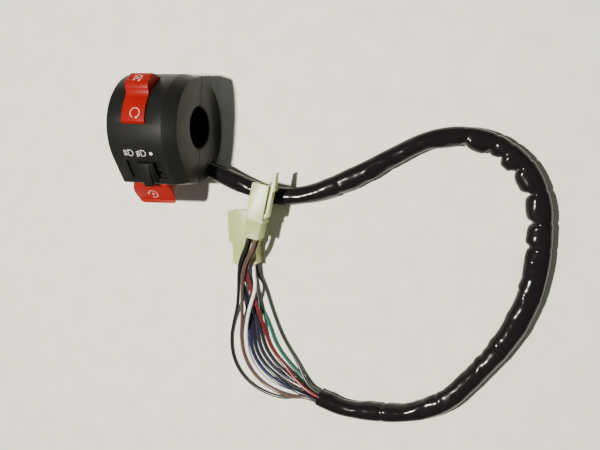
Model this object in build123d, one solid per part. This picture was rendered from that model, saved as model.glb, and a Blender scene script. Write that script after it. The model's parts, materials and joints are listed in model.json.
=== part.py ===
from build123d import *
import math
import os

os.makedirs("parts", exist_ok=True)

# A handlebar switch cluster: a two part drum that clamps on the bar, with a stop rocker, a light
# slide and a starter button, and a sleeved harness that ends in two connectors.
# Lengths are millimetres and angles are degrees. The origin is on the axis of the bar bore, near the
# middle of the drum. +X runs along the bar, +Y up the drum and +Z to the rider. The halves meet at z = 0.
# Angles round the drum turn from +Z to +Y. The drum lies on its rear, on a floor at z = floor_z.

# Drum
bar_radius = 11.15
tunnel_radius = 12.7
drum_length = 37.9
drum_right = 18.5
drum_radius = 29.0
drum_centre_y = -1.05
wall = 2.4
shoulder_depth = 6.6
shoulder_rise = 3.7
shoulder_edge_rise = 1.4
shoulder_step = 0.5
facet_angle = -37.4
lower_angle = -115.0
flat_wall_proud = 0.95
nose_round = 1.3
end_round = 0.8
bore_chamfer = 0.6
parting_groove = 0.5
rest_flat = 0.8
overrun = 4.0
running = 0.05
screw_fit = 0.05

# Stop rocker: two end arcs about its pin, and an outline about the drum centre as radius and angle
pivot_depth = 6.8
pivot_angle = 26.0
rocker_left = -9.8
rocker_right = 3.0
rocker_side_gap = 0.3
rocker_end_gap = 0.35
rocker_toe_radius = 13.0
rocker_heel_radius = 16.1
rocker_inner_depth = 4.1
rocker_pad_rise = 0.6
rocker_toe_rise = 0.3
rocker_foot_rise = 0.25
rocker_step_rise = 2.25
rocker_brow_rise = 3.35
rocker_block_rise = 4.0
rocker_crown_rise = 4.35
rocker_tail_rise = 4.6
rocker_toe_angle = -8.0
rocker_pad_angle = 10.0
rocker_foot_angle = 25.0
rocker_rise_angle = 30.0
rocker_step_angle = 33.5
rocker_brow_angle = 36.0
rocker_block_angle = 41.0
rocker_crown_angle = 47.0
rocker_tail_angle = 62.0
rocker_edge_round = 0.6
hub_radius = 3.4
pin_radius = 1.5
rib_radius = 3.2
rib_thickness = 1.4
rib_gap = 0.5
aperture_depth = 5.1

# Stop contacts, on the line from the bar axis to the rocker pin
stop_base_drop = 6.9
stop_base_thickness = 2.2
stop_base_width = 12.0
stop_pad_inset = 0.25
stop_strip_height = 0.5
stop_strip_width = 1.6
stop_strip_length = 5.4
stop_strip_place = 2.6
stop_screw_place = 4.7
arm_radius = 2.9
arm_start = 1.0
arm_length = 4.2
socket_start = 2.3
plunger_radius = 1.65
plunger_gap = 0.1
plunger_shank = 1.0
plunger_tip_radius = 1.4
plunger_contact_gap = 0.3
stop_spring_turns = 2
stop_spring_wire = 0.3
stop_spring_radius = 1.2

# Light slide, in the frame of the drum's flat facet: x along the bar, y up the facet, z outwards
slide_x = -1.0
slide_reach = 5.4
recess_end_gap = 0.25
recess_low_gap = 0.3
recess_high_gap = 1.3
recess_depth = 1.4
guide_rim = 1.8
guide_side = 7.0
guide_depth = 3.6
knob_half = 5.0
knob_low = -3.9
knob_high = 5.8
knob_sole = -1.1
knob_deck = 1.0
ridge_half = 2.5
ridge_foot_half = 4.1
ridge_tip = -6.4
ridge_tip_height = 4.2
ridge_tip_drop = 1.5
ridge_tail = 5.0
ridge_tail_height = 1.6
ridge_foot_share = 0.45
stem_half = 1.6
stem_side = 1.9
stem_bottom = -5.4
slot_end_gap = 0.3
slot_side = 2.2
carriage_half = 5.5
carriage_low = -3.2
carriage_high = 5.2
carriage_top = -3.9
carriage_bottom = -8.5
bridge_thickness = 0.5
bridge_half = 4.2
bridge_side = 2.4
bridge_dome = 0.7
bridge_dome_place = 3.0
ball_radius = 1.2
ball_gap = 0.15
ball_place_y = 3.6
notch_gap = 0.1
notch_radius = 1.3
notch_depth = 0.35
slide_spring_turns = 3
slide_spring_wire = 0.3
slide_spring_radius = 0.8
slide_spring_room = 2.4
slide_base_low = -3.4
slide_base_high = 6.0
slide_base_top = -10.2
slide_base_bottom = -11.8
post_width = 2.0
post_gap = 0.3

# Starter button: it slides along +Y through the flat wall
button_left = -16.6
button_right = 6.9
button_low = 1.2
button_high = 11.8
button_gap = 0.3
button_root = 2.0
button_left_reach = 11.4
button_right_reach = 10.5
button_slant_start = 0.3
button_slant_run = 8.7
button_slant_drop = 8.4
button_left_round = 5.2
button_right_round = 3.0
button_corner_round = 4.6
button_edge_round = 2.4
button_travel = 3.5
flange_gap = 0.3
flange_thickness = 1.3
flange_end_gap = 0.5
flange_rim = 1.4
flange_low = 0.35
flange_high = 8.5
starter_axis_x = -5.3
starter_axis_z = 3.4
starter_stem_radius = 1.5
starter_stem_gap = 1.5
starter_spring_radius = 2.5
starter_spring_wire = 0.5
starter_spring_turns = 4
starter_block_half = 3.5
starter_block_height = 5.8
starter_block_depth = 5.9
starter_block_gap = 0.9
starter_bore_radius = 1.8
starter_bore_depth = 4.3
starter_lug = 3.2
starter_lug_inset = 1.05
starter_lug_thickness = 1.8
starter_post_half = 1.5
contact_bar_half = 6.0
contact_bar_height = 4.4
contact_bar_thickness = 0.6
contact_tip_radius = 0.8
contact_tip_place = 4.9
contact_tip_length = 2.3
contact_strip_inner = 2.9
contact_strip_outer = 6.0
contact_strip_height = 2.0
contact_strip_thickness = 0.8

# Screws
clamp_screw_radius = 2.0
clamp_head_radius = 3.8
clamp_head_height = 2.6
clamp_hole_gap = 0.2
counterbore_gap = 0.3
rear_boss_radius = 5.4
top_screw_x = 11.5
top_screw_y = 19.3
top_screw_seat = -11.0
top_screw_reach = 9.0
top_boss_radius = 3.8
top_boss_height = 12.0
low_screw_x = -12.8
low_screw_y = -16.0
low_screw_seat = -16.0
low_screw_reach = 4.8
low_boss_radius = 3.6
low_boss_height = 6.0
small_screw_radius = 0.8
small_head_radius = 1.4
small_head_height = 0.8
small_screw_reach = 2.4
pilot_spare = 0.2
cross_width = 0.9
cross_depth = 1.1

# Cable outlet in the rear half, in a frame that looks out along the cable
outlet_x = 15.3
outlet_y = -21.5
outlet_z = -15.6
outlet_way = (0.90, -0.33, -0.28)
outlet_radius = 7.4
outlet_depth = 5.2
grommet_radius = 5.9
grommet_gap = 0.05
grommet_depth = 3.7
grommet_flange_radius = 6.6
grommet_flange = 1.2
sleeve_gap = 0.05
web_gap = 0.4
trough_depth = 8.2
saddle_start = 5.6
saddle_end = 7.8
saddle_wall = 1.4
saddle_lug = 3.6
saddle_lug_thickness = 1.4
sleeve_inner_end = 8.6
inner_lead_radius = 0.8
inner_lead_place = 1.5

# Harness on the floor
sleeve_radius = 4.8
wire_radius = 1.0
mouth_x = 87.0
mouth_y = -150.8
mouth_way = (-0.951, 0.309, 0.0)
mouth_run = 12.5
wire_ring_radius = 3.05
wire_ring_turn = 22.5
wire_pair_place = 1.05
wire_run_in = 6.0

# Six way connector, in its own frame: y runs back from the mouth, z up from the floor
six_x = 37.7
six_y = -44.5
six_turn = 4.8
six_half = 8.9
six_length = 31.6
six_height = 11.5
six_step = 18.9
six_step_chamfer = 1.4
six_rear_left = -7.4
six_rear_right = 7.2
six_rear_height = 10.0
six_shroud_depth = 13.0
six_columns = (-4.6, -0.1, 4.4)
six_rows = (3.4, 8.0)

# Four way connector, level on top of the sleeve and the six way connector
four_x = 52.5
four_y = -28.5
four_turn = -9.3
four_length = 30.6
four_low = 11.9
four_high = 22.9
four_half = 4.8
four_step = 19.5
four_rear_half = 4.4
four_rear_trim = 0.5
four_ring_half = 5.1
four_ring_length = 1.6
four_shroud_depth = 13.0
four_columns = (-2.1, 2.1)
four_rows = (15.1, 19.7)
latch_width = 1.5
latch_gap = 0.9
latch_height = 4.6
latch_drop = 1.0
latch_root = 18.5
latch_tip = 8.0
latch_tip_lean = 1.6
latch_barb = 1.2
latch_barb_length = 3.0

# Both connectors
shroud_wall = 1.3
terminal_room_width = 2.9
terminal_room_height = 2.7
terminal_back = 5.0
wire_hole_gap = 0.15
terminal_width = 2.3
terminal_body_height = 1.8
terminal_tab_height = 0.8
terminal_tab_reach = 8.0
terminal_barrel = 4.0
connector_round = 0.6

# The share of the shorter run that an arc of a cord takes
arc_share = 0.45

drum_left = drum_right - drum_length
shoulder_x = drum_right - shoulder_depth
flat_wall_y = drum_centre_y - drum_radius - flat_wall_proud
floor_z = -drum_radius + rest_flat
FRONT = Plane.XY


def polar(radius, angle):
    """A point (y, z) at a radius and angle about the drum centre."""
    turn = math.radians(angle)
    return (drum_centre_y + radius * math.sin(turn), radius * math.cos(turn))


def wall_corner(inset, angle):
    """Where the flat wall meets the wall that leaves the drum circle at an angle."""
    turn = math.radians(angle)
    y = flat_wall_y + inset
    z = (drum_radius - inset - (y - drum_centre_y) * math.sin(turn)) / math.cos(turn)
    return (y, z)


def drum_outline(inset, corner=0):
    """The drum's outline in the YZ plane, set in from the outside, with rounded nose corners."""
    radius = drum_radius - inset
    facet_end = polar(radius, facet_angle)
    lower_end = polar(radius, lower_angle)
    far_side = polar(radius, (facet_angle + lower_angle + 360) / 2)
    round_part = ThreePointArc(facet_end, far_side, lower_end)
    corners = [wall_corner(inset, lower_angle), wall_corner(inset, facet_angle)]
    walls = Polyline(lower_end, *corners, facet_end)
    outline = make_face(round_part.edges() + walls.edges())
    if corner:
        for place in corners:
            outline = fillet(outline.vertices().sort_by_distance((*place, 0))[0], corner)
    return outline


def along_x(sketch, start, end):
    """A sketch of the YZ plane made solid from one x to another."""
    return extrude(Plane.YZ.offset(start) * sketch, amount=end - start, dir=(1, 0, 0))


def block(plane, x, y, z):
    """A box in a plane's frame, between the two values of each direction."""
    centre = Pos((x[0] + x[1]) / 2, (y[0] + y[1]) / 2, (z[0] + z[1]) / 2)
    return plane * centre * Box(x[1] - x[0], y[1] - y[0], z[1] - z[0])


def rod(plane, x, y, radius, start, end):
    """A round bar along a plane's normal, between two heights."""
    return plane * Pos(x, y, (start + end) / 2) * Cylinder(radius, end - start)


def bar(start, end, width):
    """A flat strip of a sketch from one point to another."""
    run = math.dist(start, end)
    lean = math.degrees(math.atan2(end[1] - start[1], end[0] - start[0]))
    middle = Pos((start[0] + end[0]) / 2, (start[1] + end[1]) / 2)
    return middle * Rot(0, 0, lean) * Rectangle(run, width)


def screw(plane, x, y, seat, radius, reach, head_radius, head_height, cross=0):
    """A cross head screw whose head sits on top of a seat, with its shank below it."""
    shank = rod(plane, x, y, radius, seat - reach, seat)
    head = rod(plane, x, y, head_radius, seat, seat + head_height)
    if cross:
        top = seat + head_height
        depth = (top - cross_depth, top + overrun)
        reach_out = (-head_radius / 2, head_radius / 2)
        across = (-cross / 2, cross / 2)
        at = plane * Pos(x, y, 0)
        head -= block(Plane(at), reach_out, across, depth)
        head -= block(Plane(at), across, reach_out, depth)
    return shank + head


def small_screw(plane, x, y, seat, reach=small_screw_reach):
    """A small screw that holds a contact base."""
    return screw(plane, x, y, seat, small_screw_radius, reach, small_head_radius, small_head_height)


def small_pilot(plane, x, y, seat, reach=small_screw_reach):
    """The room that a small screw's shank takes, from its seat down."""
    radius = small_screw_radius + screw_fit
    return rod(plane, x, y, radius, seat - reach - pilot_spare, seat)


def spring(plane, radius, wire, turns, start, end):
    """A coil spring along a plane's normal, of two tangent arcs in each quarter turn."""
    low = start + wire
    high = end - wire
    steps = turns * 4
    rise = (high - low) / steps
    lean = math.atan2(rise, radius * math.pi / 2)
    places = []
    ways = []
    for step in range(steps + 1):
        turn = math.radians(90 * step)
        places.append(Vector(radius * math.cos(turn), radius * math.sin(turn), low + rise * step))
        flat = math.cos(lean)
        ways.append(Vector(-math.sin(turn) * flat, math.cos(turn) * flat, math.sin(lean)))
    edges = []
    for first, last, way_out, way_in in zip(places, places[1:], ways, ways[1:]):
        span = last - first
        both = way_out + way_in
        spread = 2 * (1 - way_out.dot(way_in))
        reach = (math.sqrt(span.dot(both) ** 2 + spread * span.dot(span)) - span.dot(both)) / spread
        near = first + way_out * reach
        far = last - way_in * reach
        middle = (near + far) * (1 / 2)
        edges.append(TangentArc(first, middle, tangent=way_out))
        edges.append(TangentArc(middle, last, tangent=far - near))
    section = Plane(origin=places[0], z_dir=ways[0]) * Circle(wire / 2)
    coil = sweep(section, path=Wire(edges))
    return plane * coil


def tube(name, points, radius):
    """A cord along straight runs joined by tangent arcs, each as large as its two runs allow."""
    points = [Vector(*point) for point in points]
    radii = []
    for before, corner, after in zip(points, points[1:], points[2:]):
        half_turn = math.radians((corner - before).get_angle(after - corner)) / 2
        shorter = min((corner - before).length, (after - corner).length)
        radii.append(arc_share * shorter / math.tan(half_turn))
    path = FilletPolyline(*points, radius=radii)
    section = Plane(origin=points[0], z_dir=points[1] - points[0]) * Circle(radius)
    solid = sweep(section, path=path)
    share = solid.volume / (math.pi * radius ** 2 * path.length)
    print(f"{name}: {path.length:.1f} mm long, volume share {share:.4f}, radii",
          " ".join(f"{value:.0f}" for value in radii))
    return solid


def save(name, *pieces):
    """Write one node, as one solid or as a group of separate ones."""
    solids = [solid for piece in pieces for solid in piece.solids()]
    shape = solids[0] if len(solids) == 1 else Compound(solids)
    export_step(shape, f"parts/{name}.step")


# Frames of the three switches and of the outlet
pivot = polar(drum_radius - pivot_depth, pivot_angle)
pivot_y, pivot_z = pivot
pivot_height = math.hypot(pivot_y, pivot_z)
rocker_x = (rocker_left + rocker_right) / 2
stop_frame = Plane(origin=(rocker_x, 0, 0), x_dir=(1, 0, 0), z_dir=(0, pivot_y, pivot_z))
stop_base_high = pivot_height - stop_base_drop
stop_base_low = stop_base_high - stop_base_thickness
facet_end = polar(drum_radius, facet_angle)
facet_corner = wall_corner(0, facet_angle)
facet_y = (facet_end[0] + facet_corner[0]) / 2
facet_z = (facet_end[1] + facet_corner[1]) / 2
facet_turn = math.radians(facet_angle)
facet_way = (0, math.sin(facet_turn), math.cos(facet_turn))
facet_frame = Plane(origin=(slide_x, facet_y, facet_z), x_dir=(1, 0, 0), z_dir=facet_way)
starter_frame = Plane(origin=(starter_axis_x, 0, starter_axis_z), x_dir=(1, 0, 0), z_dir=(0, -1, 0))
outlet = Plane(origin=(outlet_x, outlet_y, outlet_z), x_dir=(0, 0, 1), z_dir=outlet_way)
REAR = Plane(origin=(0, 0, 0), x_dir=(1, 0, 0), z_dir=(0, 0, -1))


# Drum shell: the solid outside, the cavity, and the tunnel for the bar
drum = along_x(drum_outline(0, nose_round), drum_left + end_round, shoulder_x)
drum += loft([
    Plane.YZ.offset(drum_left) * drum_outline(end_round, nose_round),
    Plane.YZ.offset(drum_left + end_round) * drum_outline(0, nose_round),
], ruled=True)
across_drum = (-drum_radius * 2, drum_radius * 2)
front_room = block(FRONT, across_drum, across_drum, (0, drum_radius * 2))
rear_room = block(FRONT, across_drum, across_drum, (-drum_radius * 2, 0))
for room, set_back in ((front_room, shoulder_rise - shoulder_edge_rise), (rear_room, 0)):
    drum += room & loft([
        Plane.YZ.offset(shoulder_x) * drum_outline(0, nose_round),
        Plane.YZ.offset(drum_right) * Pos(0, -set_back) * drum_outline(shoulder_edge_rise, nose_round),
    ], ruled=True)
floor_cut = (floor_z - overrun, floor_z)
drum -= block(FRONT, across_drum, across_drum, floor_cut)

cavity = along_x(drum_outline(wall), drum_left + wall, shoulder_x - shoulder_step)
cavity += along_x(drum_outline(wall + shoulder_rise), shoulder_x - shoulder_step, drum_right - wall)
cavity -= along_x(Circle(tunnel_radius), drum_left, drum_right)

bore = along_x(Circle(bar_radius), drum_left - overrun, drum_right + overrun)
for end, inward in ((drum_left, bore_chamfer), (drum_right, -bore_chamfer)):
    bore += loft([
        Plane.YZ.offset(end + inward) * Circle(bar_radius),
        Plane.YZ.offset(end) * Circle(bar_radius + bore_chamfer),
    ], ruled=True)

# A fine groove follows the parting line round the drum
groove_side = parting_groove / math.sqrt(2)
grooves = []
for y in (drum_centre_y + drum_radius, flat_wall_y):
    grooves.append(Pos(0, y, 0) * Rot(45, 0, 0) * Box(drum_length * 2, groove_side, groove_side))
for x in (drum_left, drum_right):
    grooves.append(Pos(x, 0, 0) * Rot(0, 45, 0) * Box(groove_side, drum_radius * 4, groove_side))

shell = drum - cavity - bore

# Stop rocker aperture: two arcs about the pin, down to a depth inside the wall
def about_pivot(toe_radius, heel_radius):
    """Discs about the rocker pin: one on the toe side, one on the heel side."""
    size = drum_radius * 2
    toe_side = Pos(pivot_y - size / 2, pivot_z) * Rectangle(size, size)
    heel_side = Pos(pivot_y + size / 2, pivot_z) * Rectangle(size, size)
    toe = Pos(*pivot) * Circle(toe_radius) & toe_side
    heel = Pos(*pivot) * Circle(heel_radius) & heel_side
    return toe + heel


rocker_room = about_pivot(rocker_toe_radius + rocker_end_gap, rocker_heel_radius + rocker_end_gap)
rocker_room -= Pos(drum_centre_y, 0) * Circle(drum_radius - aperture_depth)
rocker_cut = along_x(rocker_room, rocker_left - rocker_side_gap, rocker_right + rocker_side_gap)

# Ribs beside the rocker carry its pin
rib = Pos(*pivot) * Circle(rib_radius) + bar(pivot, polar(drum_radius - wall / 2, pivot_angle), rib_radius * 2)
left_rib_end = rocker_left - rib_gap
right_rib_start = rocker_right + rib_gap
ribs = along_x(rib, left_rib_end - rib_thickness, left_rib_end)
ribs += along_x(rib, right_rib_start, right_rib_start + rib_thickness)
pin_hole = along_x(
    Pos(*pivot) * Circle(pin_radius + screw_fit),
    left_rib_end - rib_thickness - screw_fit,
    right_rib_start + rib_thickness + screw_fit,
)

half_stop = stop_base_width / 2
stop_pad = block(
    stop_frame, (-half_stop, half_stop), (-half_stop, half_stop),
    (bar_radius + stop_pad_inset, stop_base_low)
)
stop_seat = block(
    stop_frame, (-half_stop, half_stop), (-half_stop, half_stop), (stop_base_low, stop_base_high)
)
stop_screws = [(0, -stop_screw_place), (0, stop_screw_place)]

# Light slide: the recess, its guide pad with the slot, and two posts for the base
recess_half = knob_half + slide_reach + recess_end_gap
guide_half = recess_half + guide_rim
slot_half = stem_half + slide_reach + slot_end_gap
slide_base_half = carriage_half + slide_reach + post_gap + post_width
slide_screw_place = slide_base_half - post_width / 2
recess = block(
    facet_frame, (-recess_half, recess_half), (knob_low - recess_low_gap, knob_high + recess_high_gap),
    (-recess_depth, overrun)
)
guide = block(
    facet_frame, (-guide_half, guide_half), (-guide_side, guide_side), (-guide_depth, -recess_depth)
)
slot = block(
    facet_frame, (-slot_half, slot_half), (-slot_side, slot_side), (-guide_depth - wall, 0)
)
posts = []
for side in (-1, 1):
    near = slide_base_half - post_width
    ends = sorted((side * near, side * slide_base_half))
    posts.append(block(
        facet_frame, ends, (slide_base_low, slide_base_high), (slide_base_top, -guide_depth / 2)
    ))

# Starter aperture, which also clears the button's path through the guide pad
button_inner = flat_wall_y + button_root
button_centre_x = (button_left + button_right) / 2
button_centre_z = (button_low + button_high) / 2
XZ_FRAME = Plane(origin=(0, 0, 0), x_dir=(1, 0, 0), z_dir=(0, -1, 0))


def button_outline(gap):
    """The button's outline in the XZ plane, wider by a gap, with one large round end."""
    width = button_right - button_left + 2 * gap
    height = button_high - button_low + 2 * gap
    outline = Pos(button_centre_x, button_centre_z) * Rectangle(width, height)
    left = outline.vertices().sort_by(Axis.X)[:2]
    outline = fillet(left, button_left_round + gap)
    right = outline.vertices().sort_by(Axis.X)[-2:]
    return fillet(right, button_right_round + gap)


def through_wall(sketch, outer, inner):
    """A sketch of the XZ plane made solid from an outer y to an inner one."""
    return extrude(XZ_FRAME.offset(-inner) * sketch, amount=inner - outer, dir=(0, -1, 0))


button_cut = through_wall(
    button_outline(button_gap), flat_wall_y - overrun, button_inner + button_travel + button_gap
)

starter_block_back = -tunnel_radius - starter_block_gap
starter_block_front = starter_block_back - starter_block_depth
starter_lug_low = starter_block_front + starter_lug_inset
starter_lug_high = starter_block_back - starter_lug_inset
starter_low = starter_axis_z - starter_block_height / 2
lug_end = starter_axis_x + starter_block_half + starter_lug
lug_screw_x = lug_end - starter_lug / 2
lug_screw_y = (starter_lug_low + starter_lug_high) / 2
lug_top = starter_low + starter_lug_thickness
starter_post = block(
    FRONT, (lug_screw_x - starter_post_half, lug_screw_x + starter_post_half),
    (lug_screw_y - starter_post_half, -tunnel_radius + wall / 2),
    (lug_top, lug_top + small_screw_reach + wall / 2)
)
starter_pad = block(
    FRONT, (starter_axis_x - starter_block_half, starter_axis_x + starter_block_half),
    (starter_block_back, -bar_radius), (starter_low, starter_low + starter_block_height)
)

# Front half
front_bosses = rod(FRONT, top_screw_x, top_screw_y, top_boss_radius, 0, top_boss_height)
front_bosses += rod(FRONT, low_screw_x, low_screw_y, low_boss_radius, 0, low_boss_height)
front_housing = shell & front_room
for feature in (ribs, stop_pad, guide, *posts, starter_post, starter_pad, front_bosses):
    front_housing += feature & drum & front_room
front_housing -= bore
front_housing -= stop_seat
front_housing -= rocker_cut
front_housing -= pin_hole
front_housing -= recess
front_housing -= slot
front_housing -= button_cut
for groove in grooves:
    front_housing -= groove
for x, y, reach in (
    (top_screw_x, top_screw_y, top_screw_reach),
    (low_screw_x, low_screw_y, low_screw_reach),
):
    front_housing -= rod(FRONT, x, y, clamp_screw_radius + screw_fit, -overrun, reach + pilot_spare)
for x, y in stop_screws:
    front_housing -= small_pilot(stop_frame, x, y, stop_base_low, small_screw_reach / 2)
under_facet = Plane(origin=facet_frame.origin, x_dir=(1, 0, 0), z_dir=-facet_frame.z_dir)
slide_screw_y = -(slide_base_low + slide_base_high) / 2
for side in (-1, 1):
    front_housing -= small_pilot(under_facet, side * slide_screw_place, slide_screw_y, -slide_base_top)
front_housing -= small_pilot(REAR, lug_screw_x, -lug_screw_y, -lug_top)
save("front_housing", front_housing)

# Rear half, with the counterbored screw bosses and the cable outlet
rear_bosses = rod(FRONT, top_screw_x, top_screw_y, rear_boss_radius, -drum_radius, 0)
rear_bosses += rod(FRONT, low_screw_x, low_screw_y, rear_boss_radius, -drum_radius, 0)
outlet_boss = rod(outlet, 0, 0, outlet_radius, -outlet_depth, 0)
trough = rod(outlet, 0, 0, outlet_radius, -trough_depth, -outlet_depth)
trough += block(
    outlet, (-outlet_radius, 0), (-outlet_radius - saddle_lug, 0), (-saddle_end, -saddle_start)
)
trough &= block(
    outlet, (-outlet_radius, 0), (-outlet_radius * 2, outlet_radius), (-trough_depth, -outlet_depth)
)
outlet_room = rod(outlet, 0, 0, grommet_radius + grommet_gap, -grommet_depth, overrun)
outlet_room += rod(outlet, 0, 0, grommet_flange_radius + grommet_gap, 0, overrun)
outlet_room += rod(outlet, 0, 0, sleeve_radius + web_gap, -trough_depth - overrun, overrun)
rear_housing = shell & rear_room
rear_housing += rear_bosses & drum & rear_room
rear_housing += outlet_boss + trough
rear_housing -= outlet_room
rear_housing -= bore
for x, y, seat in (
    (top_screw_x, top_screw_y, top_screw_seat),
    (low_screw_x, low_screw_y, low_screw_seat),
):
    rear_housing -= rod(FRONT, x, y, clamp_screw_radius + clamp_hole_gap, -drum_radius, overrun)
    rear_housing -= rod(FRONT, x, y, clamp_head_radius + counterbore_gap, -drum_radius - overrun, seat)
for groove in grooves:
    rear_housing -= groove
saddle_screw_y = -outlet_radius - saddle_lug / 2
saddle_middle = -(saddle_start + saddle_end) / 2
over_outlet = Plane(
    origin=outlet.from_local_coords((0, saddle_screw_y, saddle_middle)),
    x_dir=outlet.z_dir, z_dir=outlet.x_dir,
)
rear_housing -= small_pilot(over_outlet, 0, 0, 0)
saddle_outer = sleeve_radius + saddle_wall
saddle_room = rod(
    outlet, 0, 0, saddle_outer + running, -saddle_end - running, -saddle_start + running
)
rear_housing -= saddle_room & block(
    outlet, (0, saddle_outer * 2), (-saddle_outer * 2, saddle_outer * 2), (-trough_depth, 0)
)
save("rear_housing", rear_housing)

clamp_screws = [
    screw(REAR, x, -y, -seat, clamp_screw_radius, reach - seat,
          clamp_head_radius, clamp_head_height, cross_width)
    for x, y, seat, reach in (
        (top_screw_x, top_screw_y, top_screw_seat, top_screw_reach),
        (low_screw_x, low_screw_y, low_screw_seat, low_screw_reach),
    )
]
save("housing_screws", *clamp_screws)

# Stop rocker
rocker_inner_radius = drum_radius - rocker_inner_depth


def rocker_point(rise, angle):
    return polar(drum_radius + rocker_pad_rise + rise, angle)


toe_start = rocker_point(rocker_toe_rise, rocker_toe_angle)
foot = rocker_point(0, rocker_foot_angle)
step = rocker_point(rocker_step_rise, rocker_step_angle)
block_start = rocker_point(rocker_block_rise, rocker_block_angle)
tail = rocker_point(rocker_tail_rise, rocker_tail_angle)
drum_centre = (drum_centre_y, 0)
rocker_edges = [
    ThreePointArc(toe_start, rocker_point(0, rocker_pad_angle), foot),
    ThreePointArc(foot, rocker_point(rocker_foot_rise, rocker_rise_angle), step),
    ThreePointArc(step, rocker_point(rocker_brow_rise, rocker_brow_angle), block_start),
    ThreePointArc(block_start, rocker_point(rocker_crown_rise, rocker_crown_angle), tail),
    Line(tail, drum_centre),
    Line(drum_centre, toe_start),
]
rocker_section = make_face(rocker_edges) & about_pivot(rocker_toe_radius, rocker_heel_radius)
rocker_section -= Pos(*drum_centre) * Circle(rocker_inner_radius)
hub = Pos(*pivot) * Circle(hub_radius)
hub += bar(pivot, polar(rocker_inner_radius + wall / 2, pivot_angle), hub_radius * 2)
stop_rocker = along_x(rocker_section, rocker_left, rocker_right)
block_edges = [
    edge for edge in stop_rocker.edges()
    if min(abs(edge.center().X - rocker_left), abs(edge.center().X - rocker_right)) < running
    and math.hypot(edge.center().Y - drum_centre_y, edge.center().Z) > rocker_inner_radius + wall
    and edge.center().Y > block_start[0]
]
stop_rocker = fillet(block_edges, rocker_edge_round)
stop_rocker += along_x(hub, rocker_left, rocker_right)
arm_frame = Plane(origin=(rocker_x, pivot_y, pivot_z), x_dir=(1, 0, 0), z_dir=(0, -pivot_y, -pivot_z))
arm_end = arm_start + arm_length
stop_rocker += rod(arm_frame, 0, 0, arm_radius, arm_start, arm_end)
stop_rocker -= along_x(
    Pos(*pivot) * Circle(pin_radius + running), rocker_left - overrun, rocker_right + overrun
)
stop_rocker -= rod(arm_frame, 0, 0, plunger_radius + plunger_gap, socket_start, arm_end + overrun)
save("stop_rocker", stop_rocker)

pin_left = left_rib_end - rib_thickness
pin_right = right_rib_start + rib_thickness
save("stop_pivot_pin", along_x(Pos(*pivot) * Circle(pin_radius), pin_left, pin_right))

strip_top = stop_base_high + stop_strip_height
tip_end = pivot_height - strip_top - plunger_contact_gap
tip_centre = tip_end - plunger_tip_radius
plunger_start = tip_centre - plunger_shank
stop_plunger = rod(arm_frame, 0, 0, plunger_radius, plunger_start, tip_centre)
stop_plunger += arm_frame * Pos(0, 0, tip_centre) * Sphere(plunger_tip_radius)
save("stop_plunger", stop_plunger)
save("stop_spring", spring(
    arm_frame, stop_spring_radius, stop_spring_wire, stop_spring_turns, socket_start, plunger_start
))

half_strip = stop_strip_width / 2
strips = [
    block(stop_frame, (place - half_strip, place + half_strip),
          (-stop_strip_length / 2, stop_strip_length / 2), (stop_base_high, strip_top))
    for place in (-stop_strip_place, stop_strip_place)
]
save("stop_contact", *strips)

stop_base = block(
    stop_frame, (-half_stop, half_stop), (-half_stop, half_stop), (stop_base_low, stop_base_high)
)
for x, y in stop_screws:
    stop_base -= rod(
        stop_frame, x, y, small_screw_radius + screw_fit, stop_base_low - overrun, strip_top
    )
save("stop_base", stop_base)

# Light slide: the knob, and under the facet the carriage with its bridge, detent and base
light_slider = block(facet_frame, (-knob_half, knob_half), (knob_low, knob_high), (knob_sole, knob_deck))
side_frame = Plane(origin=facet_frame.origin, x_dir=facet_frame.y_dir, z_dir=(1, 0, 0))


def ridge(half, share):
    """A wedge on the knob's deck, from a low tail up to the overhanging tip."""
    rise = (ridge_tip_height - knob_deck) * share
    tail_rise = (ridge_tail_height - knob_deck) * share
    tip = knob_low + (ridge_tip - knob_low) * share
    side = make_face(Polyline(
        (knob_high, knob_deck), (ridge_tail, knob_deck + tail_rise), (tip, knob_deck + rise),
        (tip, knob_deck + rise - ridge_tip_drop * share), (knob_low, knob_deck), (knob_high, knob_deck),
    ).edges())
    return extrude(side_frame.offset(-half) * side, amount=2 * half, dir=(1, 0, 0))


light_slider += ridge(ridge_half, 1)
light_slider += ridge(ridge_foot_half, ridge_foot_share)
light_slider += block(
    facet_frame, (-stem_half, stem_half), (-stem_side, stem_side), (stem_bottom, knob_sole)
)
save("light_slider", light_slider)

slider_carriage = block(
    facet_frame, (-carriage_half, carriage_half), (carriage_low, carriage_high),
    (carriage_bottom, carriage_top)
)
slider_carriage -= block(
    facet_frame, (-stem_half - running, stem_half + running), (-stem_side - running, stem_side + running),
    (stem_bottom, overrun)
)
ball_z = slide_base_top + notch_gap + ball_radius
ball_room_top = ball_z + ball_radius + slide_spring_room
slider_carriage -= rod(
    facet_frame, 0, ball_place_y, ball_radius + ball_gap, carriage_bottom - overrun, ball_room_top
)
save("slider_carriage", slider_carriage)

bridge_top = carriage_bottom
slider_bridge = block(
    facet_frame, (-bridge_half, bridge_half), (carriage_low, carriage_low + 2 * bridge_side),
    (bridge_top - bridge_thickness, bridge_top)
)
for place in (-bridge_dome_place, bridge_dome_place):
    slider_bridge += rod(
        facet_frame, place, carriage_low + bridge_side, bridge_dome,
        bridge_top - bridge_thickness - bridge_dome, bridge_top - bridge_thickness
    )
save("slider_bridge", slider_bridge)

save("slider_ball", facet_frame * Pos(0, ball_place_y, ball_z) * Sphere(ball_radius))
ball_frame = Plane(facet_frame * Pos(0, ball_place_y, 0))
save("slider_spring", spring(
    ball_frame, slide_spring_radius, slide_spring_wire, slide_spring_turns,
    ball_z + ball_radius, ball_room_top
))

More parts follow.
